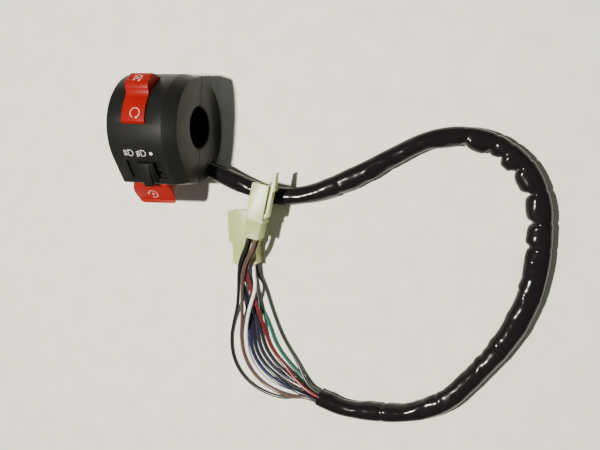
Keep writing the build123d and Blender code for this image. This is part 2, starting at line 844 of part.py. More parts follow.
slider_base = block(
    facet_frame, (-slide_base_half, slide_base_half), (slide_base_low, slide_base_high),
    (slide_base_bottom, slide_base_top)
)
for place in (-slide_reach, 0, slide_reach):
    notch_centre = slide_base_top + notch_radius - notch_depth
    slider_base -= facet_frame * Pos(place, ball_place_y, notch_centre) * Sphere(notch_radius)
for side in (-1, 1):
    slider_base -= rod(
        facet_frame, side * slide_screw_place, -slide_screw_y, small_screw_radius + screw_fit,
        slide_base_bottom - overrun, slide_base_top + overrun
    )
save("slider_base", slider_base)

# Starter button: a slanted cap, its flange and contact bar, and the spring in a bored block
left_reach_y = flat_wall_y - button_left_reach
right_reach_y = flat_wall_y - button_right_reach
front_view = make_face(Polyline(
    (button_left, button_inner), (button_left, left_reach_y), (button_right, right_reach_y),
    (button_right, button_inner), (button_left, button_inner),
).edges())
low_corners = front_view.vertices().sort_by(Axis.Y)[:2].sort_by(Axis.X)
front_view = fillet(low_corners[0], button_corner_round)
front_view = fillet(front_view.vertices().sort_by_distance((button_right, right_reach_y, 0))[0],
                    button_edge_round)
starter_button = through_wall(button_outline(0), left_reach_y, button_inner)
starter_button &= extrude(FRONT.offset(button_low) * front_view, amount=button_high - button_low)
slant_y = flat_wall_y - button_slant_start
slant_end_y = slant_y - button_slant_run
slant_bottom_z = button_high - button_slant_drop
slant_cut = make_face(Polyline(
    (slant_y, button_high), (slant_end_y, slant_bottom_z),
    (left_reach_y - overrun, slant_bottom_z), (left_reach_y - overrun, button_high + overrun),
    (slant_y, button_high + overrun), (slant_y, button_high),
).edges())
starter_button -= along_x(slant_cut, button_left - overrun, button_right + overrun)
flange_outer = flat_wall_y + wall + flange_gap
flange_inner = flange_outer + flange_thickness
flange_left = drum_left + wall + flange_end_gap
flange_right = button_right + flange_rim
flange = block(
    FRONT, (flange_left, flange_right), (flange_outer, flange_inner), (flange_low, flange_high)
)
neck = through_wall(button_outline(0), button_inner, flange_inner)
neck &= block(
    FRONT, (flange_left, button_right), (button_inner, flange_inner), (button_low, flange_high)
)
starter_button += flange + neck
stem_end = starter_block_front - starter_stem_gap
stem = rod(starter_frame, 0, 0, starter_stem_radius, -stem_end, -flange_inner)
starter_button += stem
save("starter_button", starter_button)

bar_back = flange_inner + contact_bar_thickness
bar_low = -contact_bar_height / 2
starter_bridge = block(
    starter_frame, (-contact_bar_half, contact_bar_half), (bar_low, -bar_low), (-bar_back, -flange_inner)
)
starter_bridge -= rod(
    starter_frame, 0, 0, starter_stem_radius + running, -bar_back - overrun, -flange_inner + overrun
)
for place in (-contact_tip_place, contact_tip_place):
    starter_bridge += rod(
        starter_frame, place, 0, contact_tip_radius, -bar_back - contact_tip_length, -bar_back
    )
save("starter_bridge", starter_bridge)

strip_side = (-contact_strip_height / 2, contact_strip_height / 2)
strip_depth = (-starter_block_front, -starter_block_front + contact_strip_thickness)
save(
    "starter_contacts",
    block(starter_frame, (contact_strip_inner, contact_strip_outer), strip_side, strip_depth),
    block(starter_frame, (-contact_strip_outer, -contact_strip_inner), strip_side, strip_depth),
)

save("starter_spring", spring(
    starter_frame, starter_spring_radius, starter_spring_wire, starter_spring_turns,
    -starter_block_front, -bar_back
))

starter_base = block(
    FRONT, (starter_axis_x - starter_block_half, starter_axis_x + starter_block_half),
    (starter_block_front, starter_block_back), (starter_low, starter_low + starter_block_height)
)
starter_base += block(
    FRONT, (starter_axis_x + starter_block_half, lug_end), (starter_lug_low, starter_lug_high),
    (starter_low, lug_top)
)
starter_bore_end = starter_block_front + starter_bore_depth
starter_base -= rod(
    starter_frame, 0, 0, starter_bore_radius, -starter_bore_end, -starter_block_front + overrun
)
starter_base -= rod(
    FRONT, lug_screw_x, lug_screw_y, small_screw_radius + screw_fit, starter_low - overrun, lug_top + overrun
)
save("starter_base", starter_base)

small_screws = [small_screw(
    stop_frame, x, y, stop_base_high, stop_base_high - stop_base_low + small_screw_reach / 2
) for x, y in stop_screws]
slide_base_thickness = slide_base_top - slide_base_bottom
for side in (-1, 1):
    small_screws.append(small_screw(
        under_facet, side * slide_screw_place, slide_screw_y, -slide_base_bottom,
        slide_base_thickness + small_screw_reach
    ))
small_screws.append(small_screw(
    REAR, lug_screw_x, -lug_screw_y, -starter_low, starter_lug_thickness + small_screw_reach
))
save("base_screws", *small_screws)

# Cable outlet: the grommet in its seat, and a saddle that holds the sleeve in the trough
grommet = rod(outlet, 0, 0, grommet_radius, -grommet_depth, 0)
grommet += rod(outlet, 0, 0, grommet_flange_radius, 0, grommet_flange)
grommet -= rod(outlet, 0, 0, sleeve_radius + sleeve_gap, -grommet_depth - overrun, overrun)
save("cable_grommet", grommet)

saddle = rod(outlet, 0, 0, saddle_outer, -saddle_end, -saddle_start)
saddle += block(
    outlet, (0, saddle_lug_thickness), (-outlet_radius - saddle_lug, -sleeve_radius),
    (-saddle_end, -saddle_start)
)
saddle -= rod(outlet, 0, 0, sleeve_radius + sleeve_gap, -saddle_end - overrun, -saddle_start + overrun)
saddle &= block(
    outlet, (0, saddle_outer), (-outlet_radius - saddle_lug, saddle_outer), (-saddle_end, -saddle_start)
)
saddle -= rod(over_outlet, 0, 0, small_screw_radius + screw_fit, -overrun, overrun)
save("cable_clamp", saddle)
save("clamp_screw", small_screw(
    over_outlet, 0, 0, saddle_lug_thickness, saddle_lug_thickness + small_screw_reach
))

# Connectors
six = Plane(
    origin=(six_x, six_y, floor_z),
    x_dir=(math.cos(math.radians(six_turn)), math.sin(math.radians(six_turn)), 0), z_dir=(0, 0, 1)
)
four = Plane(
    origin=(four_x, four_y, floor_z),
    x_dir=(math.cos(math.radians(four_turn)), math.sin(math.radians(four_turn)), 0), z_dir=(0, 0, 1)
)


def hollow_connector(frame, body, low, high, half, shroud_depth, length, columns, rows):
    """Cut the mouth, the terminal rooms and the wire holes into a connector's body."""
    body -= block(
        frame, (-half + shroud_wall, half - shroud_wall), (-shroud_depth, overrun),
        (low + shroud_wall, high - shroud_wall)
    )
    room = length - terminal_back
    end = Plane(frame * Rot(90, 0, 0))
    for column in columns:
        for row in rows:
            body -= block(
                frame,
                (column - terminal_room_width / 2, column + terminal_room_width / 2),
                (-room, -shroud_depth + wall),
                (row - terminal_room_height / 2, row + terminal_room_height / 2),
            )
            body -= rod(end, column, row, wire_radius + wire_hole_gap, room - wall, length + overrun)
    return body


def terminals(frame, shroud_depth, length, columns, rows):
    """Crimp terminals: a barrel where the wire ends, a body, and a tab into the mouth."""
    room = length - terminal_back
    end = Plane(frame * Rot(90, 0, 0))
    tab_end = shroud_depth - terminal_tab_reach
    pieces = []
    for column in columns:
        for row in rows:
            half = terminal_width / 2
            piece = rod(end, column, row, wire_radius, room - terminal_barrel, room)
            piece += block(
                frame, (column - half, column + half), (-room + terminal_barrel, -shroud_depth),
                (row - terminal_body_height / 2, row + terminal_body_height / 2),
            )
            piece += block(
                frame, (column - half, column + half), (-shroud_depth, -tab_end),
                (row - terminal_tab_height / 2, row + terminal_tab_height / 2),
            )
            pieces.append(piece)
    return pieces


def rounded_block(frame, x, y, z, rear_round=connector_round):
    """A moulded block whose upright corners are rounded, at the rear by a radius of their own."""
    uprights = block(frame, x, y, z).edges().filter_by(Axis.Z).sort_by_distance(frame.origin)
    body = fillet(uprights[:2], connector_round)
    rear = body.edges().filter_by(Axis.Z).sort_by(Axis.Y)[:2]
    return fillet(rear, rear_round)


six_body = rounded_block(six, (-six_half, six_half), (-six_step, 0), (0, six_height), six_step_chamfer)
six_body += rounded_block(
    six, (six_rear_left, six_rear_right), (-six_length, -six_step + wall), (0, six_rear_height)
)
six_body = hollow_connector(
    six, six_body, 0, six_height, six_half, six_shroud_depth, six_length, six_columns, six_rows
)
save("six_way_connector", six_body)
save("six_way_terminals", *terminals(six, six_shroud_depth, six_length, six_columns, six_rows))

four_body = rounded_block(four, (-four_half, four_half), (-four_step, 0), (four_low, four_high))
four_body += rounded_block(
    four, (-four_rear_half, four_rear_half), (-four_length, -four_step + wall),
    (four_low, four_high - four_rear_trim)
)
four_body += block(
    four, (-four_ring_half, four_ring_half), (-four_step - four_ring_length, -four_step),
    (four_low, four_high)
)
latch_top = four_high - latch_drop
latch_left = four_half + latch_gap
latch_side = make_face(Polyline(
    (four_half - shroud_wall / 2, -latch_root),
    (latch_left + latch_width, -latch_root + latch_width),
    (latch_left + latch_width, -latch_barb_length),
    (latch_left + latch_width + latch_barb, -latch_barb_length + latch_barb),
    (latch_left + latch_width, latch_tip - latch_barb),
    (latch_left + latch_tip_lean, latch_tip),
    (latch_left, latch_tip - latch_barb),
    (latch_left, -latch_root + latch_width * 2),
    (four_half - shroud_wall / 2, -latch_root + latch_width),
    (four_half - shroud_wall / 2, -latch_root),
).edges())
latch = extrude(
    four.offset(latch_top - latch_height) * latch_side, amount=latch_height, dir=(0, 0, 1)
)
four_body = hollow_connector(
    four, four_body + latch, four_low, four_high, four_half, four_shroud_depth, four_length,
    four_columns, four_rows
)
save("four_way_connector", four_body)
save("four_way_terminals", *terminals(four, four_shroud_depth, four_length, four_columns, four_rows))

# Harness: the sleeve leaves the outlet, drops to the floor and lies in one wide loop
sleeve_z = floor_z + sleeve_radius
mouth = Vector(mouth_x, mouth_y, sleeve_z)
mouth_out = Vector(*mouth_way)
outlet_out = outlet.z_dir
outlet_point = outlet.origin
sleeve_floor_points = [
    (52.0, -35.1), (68.7, -34.9), (84.2, -29.7), (103.2, -19.9), (122.9, -8.7), (138.4, -0.2),
    (154.5, 2.4), (171.5, -0.7), (186.5, -11.4), (195.0, -27.2), (197.6, -44.7), (197.7, -62.6),
    (195.1, -80.6), (188.9, -98.2), (180.0, -112.9), (168.9, -128.4), (156.2, -144.4),
    (136.4, -152.4), (114.4, -154.9),
]
sleeve_drop_point = (36.5, -30.6, -23.0)
sleeve_lead_out = 8.0
sleeve_points = [
    outlet_point - outlet_out * sleeve_inner_end,
    outlet_point + outlet_out * sleeve_lead_out,
    sleeve_drop_point,
    *[(x, y, sleeve_z) for x, y in sleeve_floor_points],
    mouth - mouth_out * mouth_run,
    mouth,
]
save("harness_sleeve", tube("harness_sleeve", sleeve_points, sleeve_radius))

# Wires: from a terminal, out of the connector, over the floor and into the sleeve's mouth
wire_floor = floor_z + wire_radius
connector_ends = {
    "six": (six, six_length, six_columns, six_rows),
    "four": (four, four_length, four_columns, four_rows),
}


def wire_start(connector, column, row):
    """The wire's end in its terminal room, and a point straight out of the connector."""
    frame, length, columns, rows = connector_ends[connector]
    inside = length - terminal_back
    outside = inside + 2 * terminal_back
    return [
        frame.from_local_coords((columns[column], -inside, rows[row])),
        frame.from_local_coords((columns[column], -outside, rows[row])),
    ]


def wire_end(seat):
    """Two points on a seat's line into the mouth: eight seats in a ring and two in the middle."""
    across = Vector(-mouth_out.Y, mouth_out.X, 0) * -1
    if seat < 8:
        turn = math.radians(wire_ring_turn + 45 * seat)
        sideways, up = wire_ring_radius * math.cos(turn), wire_ring_radius * math.sin(turn)
    else:
        sideways, up = wire_pair_place * (-1 if seat == 8 else 1), 0
    place = mouth + across * sideways + Vector(0, 0, up)
    return [place + mouth_out * wire_run_in, place]


wire_routes = {
    "wire_black": ("four", 0, 1, 4, [
        (40.6, -71.0, -10.5), (38.2, -79.0, -14.2), (36.4, -91.5, -19.5), (34.0, -103.5, -25.0),
        (31.0, -114.2), (29.6, -124.8), (31.4, -136.4), (37.0, -146.0), (45.2, -152.6),
        (55.2, -156.2), (64.4, -157.2, -27.1), (72.4, -154.9, -26.4),
    ]),
    "wire_brown": ("four", 1, 1, 3, [
        (44.6, -71.2, -9.6), (41.0, -78.6, -13.4), (39.6, -90.4, -16.8), (38.2, -102.4, -21.6),
        (36.6, -113.0, -26.4), (36.0, -122.8), (38.2, -134.0), (43.6, -143.4), (51.6, -150.2),
        (61.2, -153.8, -26.6), (71.4, -154.2, -23.8),
    ]),
    "wire_white": ("six", 2, 1, 5, [
        (47.6, -89.2, -18.2), (44.8, -99.6, -17.7), (41.8, -109.8, -21.4), (39.6, -119.8, -26.2),
        (40.2, -129.6), (43.6, -138.0), (49.2, -144.6), (56.4, -149.4), (64.4, -151.9),
        (72.6, -151.8, -27.1),
    ]),
    "wire_blue": ("six", 0, 1, 8, [
        (37.4, -91.4, -23.2), (39.2, -102.0, -26.4), (40.7, -112.0), (41.9, -121.4), (43.6, -131.2),
        (48.8, -139.4), (56.2, -145.4, -27.0), (64.8, -148.9, -25.8), (73.0, -149.6, -23.6),
    ]),
    "wire_navy": ("four", 0, 0, 2, [
        (41.0, -71.2, -15.0), (38.6, -79.0, -17.1), (39.4, -89.6, -19.8), (40.8, -100.0, -23.8),
        (43.1, -110.6, -26.6), (44.4, -120.6), (46.2, -129.8), (51.3, -137.4), (58.4, -142.8, -26.6),
        (66.6, -146.6, -24.0), (73.4, -148.6, -21.0),
    ]),
    "wire_violet": ("six", 1, 1, 6, [
        (43.0, -90.6, -22.2), (44.0, -101.0, -24.9), (45.6, -111.0), (46.8, -119.8), (49.0, -128.4),
        (54.0, -135.6), (60.9, -141.0), (68.4, -144.8), (75.4, -146.8, -27.1),
    ]),
    "wire_striped": ("six", 1, 0, 9, [
        (44.4, -90.2, -25.2), (46.8, -100.2, -24.5), (48.0, -109.8, -26.0), (49.3, -118.6),
        (51.8, -126.8), (56.8, -133.8), (63.4, -139.4, -26.8), (71.0, -143.8, -25.0),
    ]),
    "wire_red": ("four", 1, 0, 1, [
        (44.6, -71.6, -14.8), (41.4, -79.0, -16.6), (43.6, -89.2, -19.4), (46.8, -99.0, -21.2),
        (49.9, -108.6, -23.4), (52.0, -117.6, -26.8), (54.7, -125.2), (59.7, -131.8),
        (66.2, -137.4, -26.0), (72.6, -142.4, -23.2),
    ]),
    "wire_green": ("six", 0, 0, 7, [
        (39.4, -90.6), (45.2, -99.2), (50.8, -106.4), (54.6, -114.0), (57.8, -122.2), (62.8, -129.6),
        (69.0, -135.8), (75.2, -141.2, -26.4),
    ]),
    "wire_grey": ("six", 2, 0, 0, [
        (50.6, -89.8), (54.2, -99.8), (58.0, -109.0), (62.0, -117.6), (67.0, -125.4),
        (72.4, -132.4, -26.6), (76.6, -139.2, -24.4),
    ]),
}
for name, (connector, column, row, seat, places) in wire_routes.items():
    middle = [place if len(place) == 3 else (*place, wire_floor) for place in places]
    points = wire_start(connector, column, row) + middle + wire_end(seat)
    save(name, tube(name, points, wire_radius))

# Inner leads: from the sleeve's inner end to the three contact bases
lead_start_z = -sleeve_inner_end
lead_run = 4.0
slide_lead_x = 7.4
slide_lead_y = -2.0
stop_lead_x = 2.0
stop_lead_rise = (stop_base_low + stop_base_high) / 2


def lead_start(up, side):
    """A lead's end on the sleeve's inner end, and a point straight out of it."""
    return [
        outlet.from_local_coords((up, side, lead_start_z)),
        outlet.from_local_coords((up, side, lead_start_z - lead_run)),
    ]


slide_lead_end = facet_frame.from_local_coords((slide_lead_x, slide_lead_y, slide_base_bottom))
stop_lead_end = stop_frame.from_local_coords((stop_lead_x, -half_stop, stop_lead_rise))
starter_lead_end = Vector(starter_axis_x, (starter_block_front + starter_block_back) / 2, starter_low)
starter_lead_places = [(0.2, -17.6, -9.4), (-3.6, -16.8, -7.0)]
slide_lead_places = [(3.0, -15.6, -7.4), (3.8, -15.9, -2.4), (5.4, -16.2, 1.0)]
stop_lead_places = [
    (1.6, -14.8, -10.4), (1.7, -14.0, -5.4), (2.6, -14.0, 0.4), (2.8, -13.0, 5.8), (1.8, -10.4, 10.6),
    (0.3, -7.4, 14.7),
]
inner_leads = [
    tube("starter lead", [
        *lead_start(inner_lead_place, inner_lead_place), *starter_lead_places,
        starter_lead_end - Vector(0, 0, lead_run), starter_lead_end,
    ], inner_lead_radius),
    tube("slide lead", [
        *lead_start(0, -inner_lead_place), *slide_lead_places,
        slide_lead_end - facet_frame.z_dir * lead_run, slide_lead_end,
    ], inner_lead_radius),
    tube("stop lead", [
        *lead_start(-inner_lead_place, 0), *stop_lead_places,
        stop_lead_end - stop_frame.y_dir * lead_run, stop_lead_end,
    ], inner_lead_radius),
]
save("inner_leads", *inner_leads)
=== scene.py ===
# %% [markdown]
# A handlebar switch cluster lies on pale paper: a black drum that clamps on the bar, with a red stop
# rocker, a black light slide and a red starter button, and a glossy sleeve full of leads that ends in
# two pale nylon connectors. Its solids were built beforehand, in metres. They are loaded first, as a
# fixed frame, and every piece that is made here sits on that frame in the same coordinates.

# %% Load the frame
import json
import math

import bmesh
import bpy
from mathutils import Matrix, Vector
from mathutils.bvhtree import BVHTree
from mathutils.noise import noise as noise_value


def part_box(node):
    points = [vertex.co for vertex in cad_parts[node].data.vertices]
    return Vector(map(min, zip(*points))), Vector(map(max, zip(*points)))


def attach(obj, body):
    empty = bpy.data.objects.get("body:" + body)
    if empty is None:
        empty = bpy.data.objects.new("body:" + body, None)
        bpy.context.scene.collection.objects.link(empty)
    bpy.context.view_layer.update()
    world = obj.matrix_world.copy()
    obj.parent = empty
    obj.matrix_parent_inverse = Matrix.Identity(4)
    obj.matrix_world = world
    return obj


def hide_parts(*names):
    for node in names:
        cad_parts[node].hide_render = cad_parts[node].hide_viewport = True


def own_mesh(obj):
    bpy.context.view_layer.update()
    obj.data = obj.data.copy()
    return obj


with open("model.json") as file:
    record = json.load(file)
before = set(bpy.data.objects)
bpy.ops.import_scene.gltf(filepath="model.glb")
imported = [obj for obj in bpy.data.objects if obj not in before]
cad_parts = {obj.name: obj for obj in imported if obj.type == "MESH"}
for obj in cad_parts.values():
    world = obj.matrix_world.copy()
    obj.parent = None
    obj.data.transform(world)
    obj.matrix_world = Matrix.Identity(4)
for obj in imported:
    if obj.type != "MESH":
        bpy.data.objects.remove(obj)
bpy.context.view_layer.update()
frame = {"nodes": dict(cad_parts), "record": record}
nodes = frame["nodes"]
print("frame of", len(nodes), "nodes")

# %% [markdown]
# A part this small is easier to think about in millimetres, while Blender works in metres, so sizes are
# written in millimetres and multiplied by MM. The drum lies on its back: the rear half's lowest point is
# the height of the floor, and the cords rest at that height too.

# %% Units and the floor's height
MM = 0.001
UP = Vector((0, 0, 1))
floor_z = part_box("rear_housing")[0].z


def place(x, y, z):
    """A point given in millimetres, in metres."""
    return Vector((x, y, z)) * MM


def floor_place(x, y, height):
    """A point over the floor: x and y in millimetres, the height above the floor in metres."""
    return Vector((x * MM, y * MM, floor_z + height))


print("floor at", round(floor_z / MM, 2), "mm")

# %% [markdown]
# The photograph was taken from above and to the right, with the drum standing upright in the picture.
# A camera can be aimed by eye, but the round bore, the drum's outline and the shadow that it throws fix
# it much better. Its place and its own right, up and back directions were worked out from those.

# %% Camera
CAMERA_RIGHT = Vector((0.9631, 0.0503, -0.2644))
CAMERA_UP = Vector((-0.0783, 0.9923, -0.0964))
CAMERA_BACK = Vector((0.2575, 0.1135, 0.9596))
CAMERA_PLACE = place(143.45, -19.0, 247.3)
LENS = 29.68
SENSOR_WIDTH = 36
NEAREST_SEEN = 10 * MM


def new_object(name, data):
    """An object with that mesh, curve, camera or lamp, at the origin."""
    made = bpy.data.objects.new(name, data)
    bpy.context.scene.collection.objects.link(made)
    return made


camera_data = bpy.data.cameras.new("camera")
camera_data.lens = LENS
camera_data.sensor_width = SENSOR_WIDTH
camera_data.clip_start = NEAREST_SEEN
camera = new_object("camera", camera_data)
turned = Matrix((CAMERA_RIGHT, CAMERA_UP, CAMERA_BACK)).transposed().to_4x4()
camera.matrix_world = Matrix.Translation(CAMERA_PLACE) @ turned
bpy.context.scene.camera = camera
print("camera with a lens of", LENS, "mm")

# %% [markdown]
# One small lamp hangs high above the table, a little to the left. A sun lamp would throw parallel
# shadows, while these spread and stay short, dark and crisp, so a near point lamp with a small radius
# is used. The wide sheet of paper is evenly bright all the same, so the lamp's strength is kept constant
# over the distance. A weak sky fills the shadows.

# %% Lamp and sky
LAMP_PLACE = place(-40, -35, 372)
LAMP_RADIUS = 10 * MM
LAMP_POWER = 104.0
LAMP_COLOUR = (1.0, 0.98, 0.91)
SKY_COLOUR = (0.97, 0.98, 1.0, 1)
SKY_STRENGTH = 0.17

lamp_data = bpy.data.lights.new("table_lamp", "POINT")
lamp_data.energy = LAMP_POWER
lamp_data.shadow_soft_size = LAMP_RADIUS
lamp_data.color = LAMP_COLOUR
lamp_data.use_nodes = True
lamp_tree = lamp_data.node_tree
falloff = lamp_tree.nodes.new("ShaderNodeLightFalloff")
falloff.inputs["Strength"].default_value = 1.0
lamp_tree.links.new(falloff.outputs["Constant"], lamp_tree.nodes["Emission"].inputs["Strength"])
lamp = new_object("table_lamp", lamp_data)
lamp.location = LAMP_PLACE

world = bpy.data.worlds.new("room")
bpy.context.scene.world = world
world.use_nodes = True
sky = world.node_tree.nodes["Background"]
sky.inputs["Color"].default_value = SKY_COLOUR
sky.inputs["Strength"].default_value = SKY_STRENGTH
print("lamp", round((LAMP_PLACE.z - floor_z) / MM), "mm above the floor")

# %% [markdown]
# The part lies on a large sheet of paper. One flat face does for it, since its edges are far away. It
# lies a hair below the part's lowest point, so that no two surfaces share a place and flicker. The sheet
# is only the stage, not a piece of the part.

# %% Paper floor
FLOOR_SIZE = 4.0
FLOOR_GAP = 0.02 * MM


def finished(name, made):
    """Turn a bmesh into a piece at the origin, and let the bmesh go."""
    mesh = bpy.data.meshes.new(name)
    made.to_mesh(mesh)
    made.free()
    return new_object(name, mesh)


floor_bm = bmesh.new()
bmesh.ops.create_grid(floor_bm, x_segments=1, y_segments=1, size=FLOOR_SIZE / 2)
bmesh.ops.translate(floor_bm, verts=floor_bm.verts, vec=UP * (floor_z - FLOOR_GAP))
floor = finished("paper", floor_bm)
print("paper", FLOOR_SIZE, "m wide")

# %% [markdown]
# An effect that several materials share belongs in a node group: it is built once, and each material
# sets its own values on it. Three small helpers keep the building of node trees short.

# %% Helpers for node trees
def new_group(name, inputs, outputs):
    """An empty shader group with float inputs (name, value) and outputs (name, kind)."""
    group = bpy.data.node_groups.new(name, "ShaderNodeTree")
    for label, value in inputs:
        socket = group.interface.new_socket(label, in_out="INPUT", socket_type="NodeSocketFloat")
        socket.default_value = value
    for label, kind in outputs:
        group.interface.new_socket(label, in_out="OUTPUT", socket_type=kind)
    start = group.nodes.new("NodeGroupInput")
    end = group.nodes.new("NodeGroupOutput")
    return group, start, end


def math_node(tree, operation, first, second):
    """One math step: each value is a socket or a number. Returns the result's socket."""
    node = tree.nodes.new("ShaderNodeMath")
    node.operation = operation
    for index, value in enumerate((first, second)):
        if isinstance(value, (int, float)):
            node.inputs[index].default_value = value
        else:
            tree.links.new(value, node.inputs[index])
    return node.outputs[0]


def noise(tree, scale, detail, where):
    """A noise texture's value at a vector socket. The scale is a socket or a number."""
    node = tree.nodes.new("ShaderNodeTexNoise")
    node.inputs["Detail"].default_value = detail
    if isinstance(scale, (int, float)):
        node.inputs["Scale"].default_value = scale
    else:
        tree.links.new(scale, node.inputs["Scale"])
    tree.links.new(where, node.inputs["Vector"])
    return node.outputs["Fac"]


# %% [markdown]
# A mould leaves a fine grain on plastic, and handling leaves faint larger patches where it is duller. An
# image texture would need a UV map on every piece, so two noise textures on Object coordinates do it
# instead. Both move the roughness, the fine one also gives a height for the bumps, and the coarse one
# gives a mask by which the colour drifts.

# %% Moulded grain
GRAIN_SCALE = 1800.0
GRAIN_DETAIL = 3.0
PATCH_SCALE = 70.0
PATCH_DETAIL = 4.0
USUAL_ROUGHNESS = 0.45
GRAIN_VARIATION = 0.1
PATCH_VARIATION = 0.08
NOISE_MIDDLE = 0.5

grain_group, grain_in, grain_out = new_group(
    "moulded grain",
    [
        ("Scale", GRAIN_SCALE), ("Roughness", USUAL_ROUGHNESS),
        ("Variation", GRAIN_VARIATION), ("Patches", PATCH_VARIATION),
    ],
    [
        ("Roughness", "NodeSocketFloat"), ("Height", "NodeSocketFloat"), ("Patch", "NodeSocketFloat"),
    ],
)
grain_where = grain_group.nodes.new("ShaderNodeTexCoord").outputs["Object"]
grain_fine = noise(grain_group, grain_in.outputs["Scale"], GRAIN_DETAIL, grain_where)
grain_patch = noise(grain_group, PATCH_SCALE, PATCH_DETAIL, grain_where)
fine_part = math_node(grain_group, "SUBTRACT", grain_fine, NOISE_MIDDLE)
fine_part = math_node(grain_group, "MULTIPLY", fine_part, grain_in.outputs["Variation"])
patch_part = math_node(grain_group, "SUBTRACT", grain_patch, NOISE_MIDDLE)
patch_part = math_node(grain_group, "MULTIPLY", patch_part, grain_in.outputs["Patches"])
rough = math_node(grain_group, "ADD", fine_part, patch_part)
rough = math_node(grain_group, "ADD", rough, grain_in.outputs["Roughness"])
grain_group.links.new(rough, grain_out.inputs["Roughness"])
grain_group.links.new(grain_fine, grain_out.inputs["Height"])
grain_group.links.new(grain_patch, grain_out.inputs["Patch"])
print("moulded grain has", len(grain_group.nodes), "nodes")

# %% [markdown]
# Most finishes here are moulded plastic and differ in colour, dullness and grain only. So one function
# makes them all from the group above: the mask mixes a darker and a lighter version of the colour, and
# the height goes through a Bump node. Its depth is given in millimetres.

# %% A moulded finish
GRAIN_HEIGHT = 0.02
COLOUR_SHIFT = 0.15


def shader_of(material):
    """The material's main shader."""
    return material.node_tree.nodes["Principled BSDF"]


def moulded(name, colour, roughness, bump=GRAIN_HEIGHT, scale=GRAIN_SCALE, shift=COLOUR_SHIFT):
    """A moulded plastic: its colour drifts a little, and its roughness and height follow the grain."""
    material = bpy.data.materials.new(name)
    material.use_nodes = True
    tree = material.node_tree
    shader = shader_of(material)
    grain = tree.nodes.new("ShaderNodeGroup")
    grain.node_tree = grain_group
    grain.inputs["Scale"].default_value = scale
    grain.inputs["Roughness"].default_value = roughness
    grain.inputs["Variation"].default_value = GRAIN_VARIATION
    grain.inputs["Patches"].default_value = PATCH_VARIATION
    tree.links.new(grain.outputs["Roughness"], shader.inputs["Roughness"])
    mix = tree.nodes.new("ShaderNodeMix")
    mix.data_type = "RGBA"
    mix.inputs["A"].default_value = (*[value * (1 - shift) for value in colour], 1)
    mix.inputs["B"].default_value = (*[min(1, value * (1 + shift)) for value in colour], 1)
    tree.links.new(grain.outputs["Patch"], mix.inputs["Factor"])
    tree.links.new(mix.outputs["Result"], shader.inputs["Base Color"])
    lift = tree.nodes.new("ShaderNodeBump")
    lift.inputs["Strength"].default_value = 1.0
    lift.inputs["Distance"].default_value = bump * MM
    tree.links.new(grain.outputs["Height"], lift.inputs["Height"])
    tree.links.new(lift.outputs["Normal"], shader.inputs["Normal"])
    return material


# %% [markdown]
# The drum and the knob are dull black plastic, the rocker and the button red, and the sleeve is soft
# shiny vinyl. Under the lamp even the dull ones would get a milky sheen with the usual index of
# refraction of 1.5, which the real ones don't have. The index is lowered for those four, which dims the
# reflection and leaves its width to the roughness.

# %% Plastics, vinyl and print
housing_black = moulded("housing_black", (0.0085, 0.0085, 0.0075), 0.42, bump=0.015)
red_plastic = moulded("red_switch", (0.23, 0.0035, 0.0012), 0.42, bump=0.01)
knob_black = moulded("black_knob", (0.007, 0.007, 0.0065), 0.5)
sleeve_vinyl = moulded("sleeve_vinyl", (0.007, 0.006, 0.0065), 0.17, bump=0.03, scale=500.0)
nylon = moulded("natural_nylon", (0.43, 0.48, 0.17), 0.34, bump=0.01)
grommet_rubber = moulded("grommet_rubber", (0.014, 0.014, 0.014), 0.6)
contact_base = moulded("contact_base", (0.10, 0.085, 0.06), 0.55)
white_carrier = moulded("white_carrier", (0.70, 0.69, 0.64), 0.45)
print_white = moulded("print_white", (0.66, 0.62, 0.58), 0.5, bump=0.0, shift=0.03)
print_pale = moulded("print_pale", (0.66, 0.40, 0.34), 0.5, bump=0.0, shift=0.03)

REFRACTION = (
    (housing_black, 1.24), (red_plastic, 1.25), (knob_black, 1.22), (sleeve_vinyl, 1.25),
)
for material, index in REFRACTION:
    shader_of(material).inputs["IOR"].default_value = index
    print(material.name, "has an index of refraction of", index)

# %% [markdown]
# The connectors are natural nylon, which lets some light through: their thin walls glow where the lamp
# is behind them. Full glass would be too clear, so the light mostly scatters under the surface, within
# a few millimetres, and only a small share passes straight through.

# %% Translucent nylon
NYLON_SCATTER = 0.55
NYLON_DEPTHS = (1.0, 1.0, 0.5)
NYLON_REACH = 2.5 * MM
NYLON_CLEAR = 0.18

nylon_shader = shader_of(nylon)
nylon_shader.inputs["Subsurface Weight"].default_value = NYLON_SCATTER
nylon_shader.inputs["Subsurface Radius"].default_value = NYLON_DEPTHS
nylon_shader.inputs["Subsurface Scale"].default_value = NYLON_REACH
nylon_shader.inputs["Transmission Weight"].default_value = NYLON_CLEAR
print("nylon scatters", NYLON_SCATTER, "of its light and passes", NYLON_CLEAR)

# %% [markdown]
# Screws, springs and contacts are metal. They are small and mostly hidden, so they share the plastics'
# function with a finer height, and become metal by the Metallic value alone.

# %% Metals
METAL_HEIGHT = 0.004
METAL_SCALE = 900.0
METAL_SHIFT = 0.05


def metal(name, colour, roughness):
    """A plain metal whose roughness follows the same grain."""
    material = moulded(name, colour, roughness, METAL_HEIGHT, METAL_SCALE, METAL_SHIFT)
    shader_of(material).inputs["Metallic"].default_value = 1.0
    return material


zinc_steel = metal("zinc_steel", (0.62, 0.62, 0.60), 0.34)
spring_steel = metal("spring_steel", (0.55, 0.56, 0.58), 0.28)
contact_brass = metal("contact_brass", (0.72, 0.52, 0.22), 0.3)
print("metals:", zinc_steel.name, spring_steel.name, contact_brass.name)

# %% [markdown]
# Each lead has its own colour, so that it can be traced through the sleeve. They are all the same soft
# vinyl, and a table of colours makes the ten materials in one go. The paper gets its own finish too.

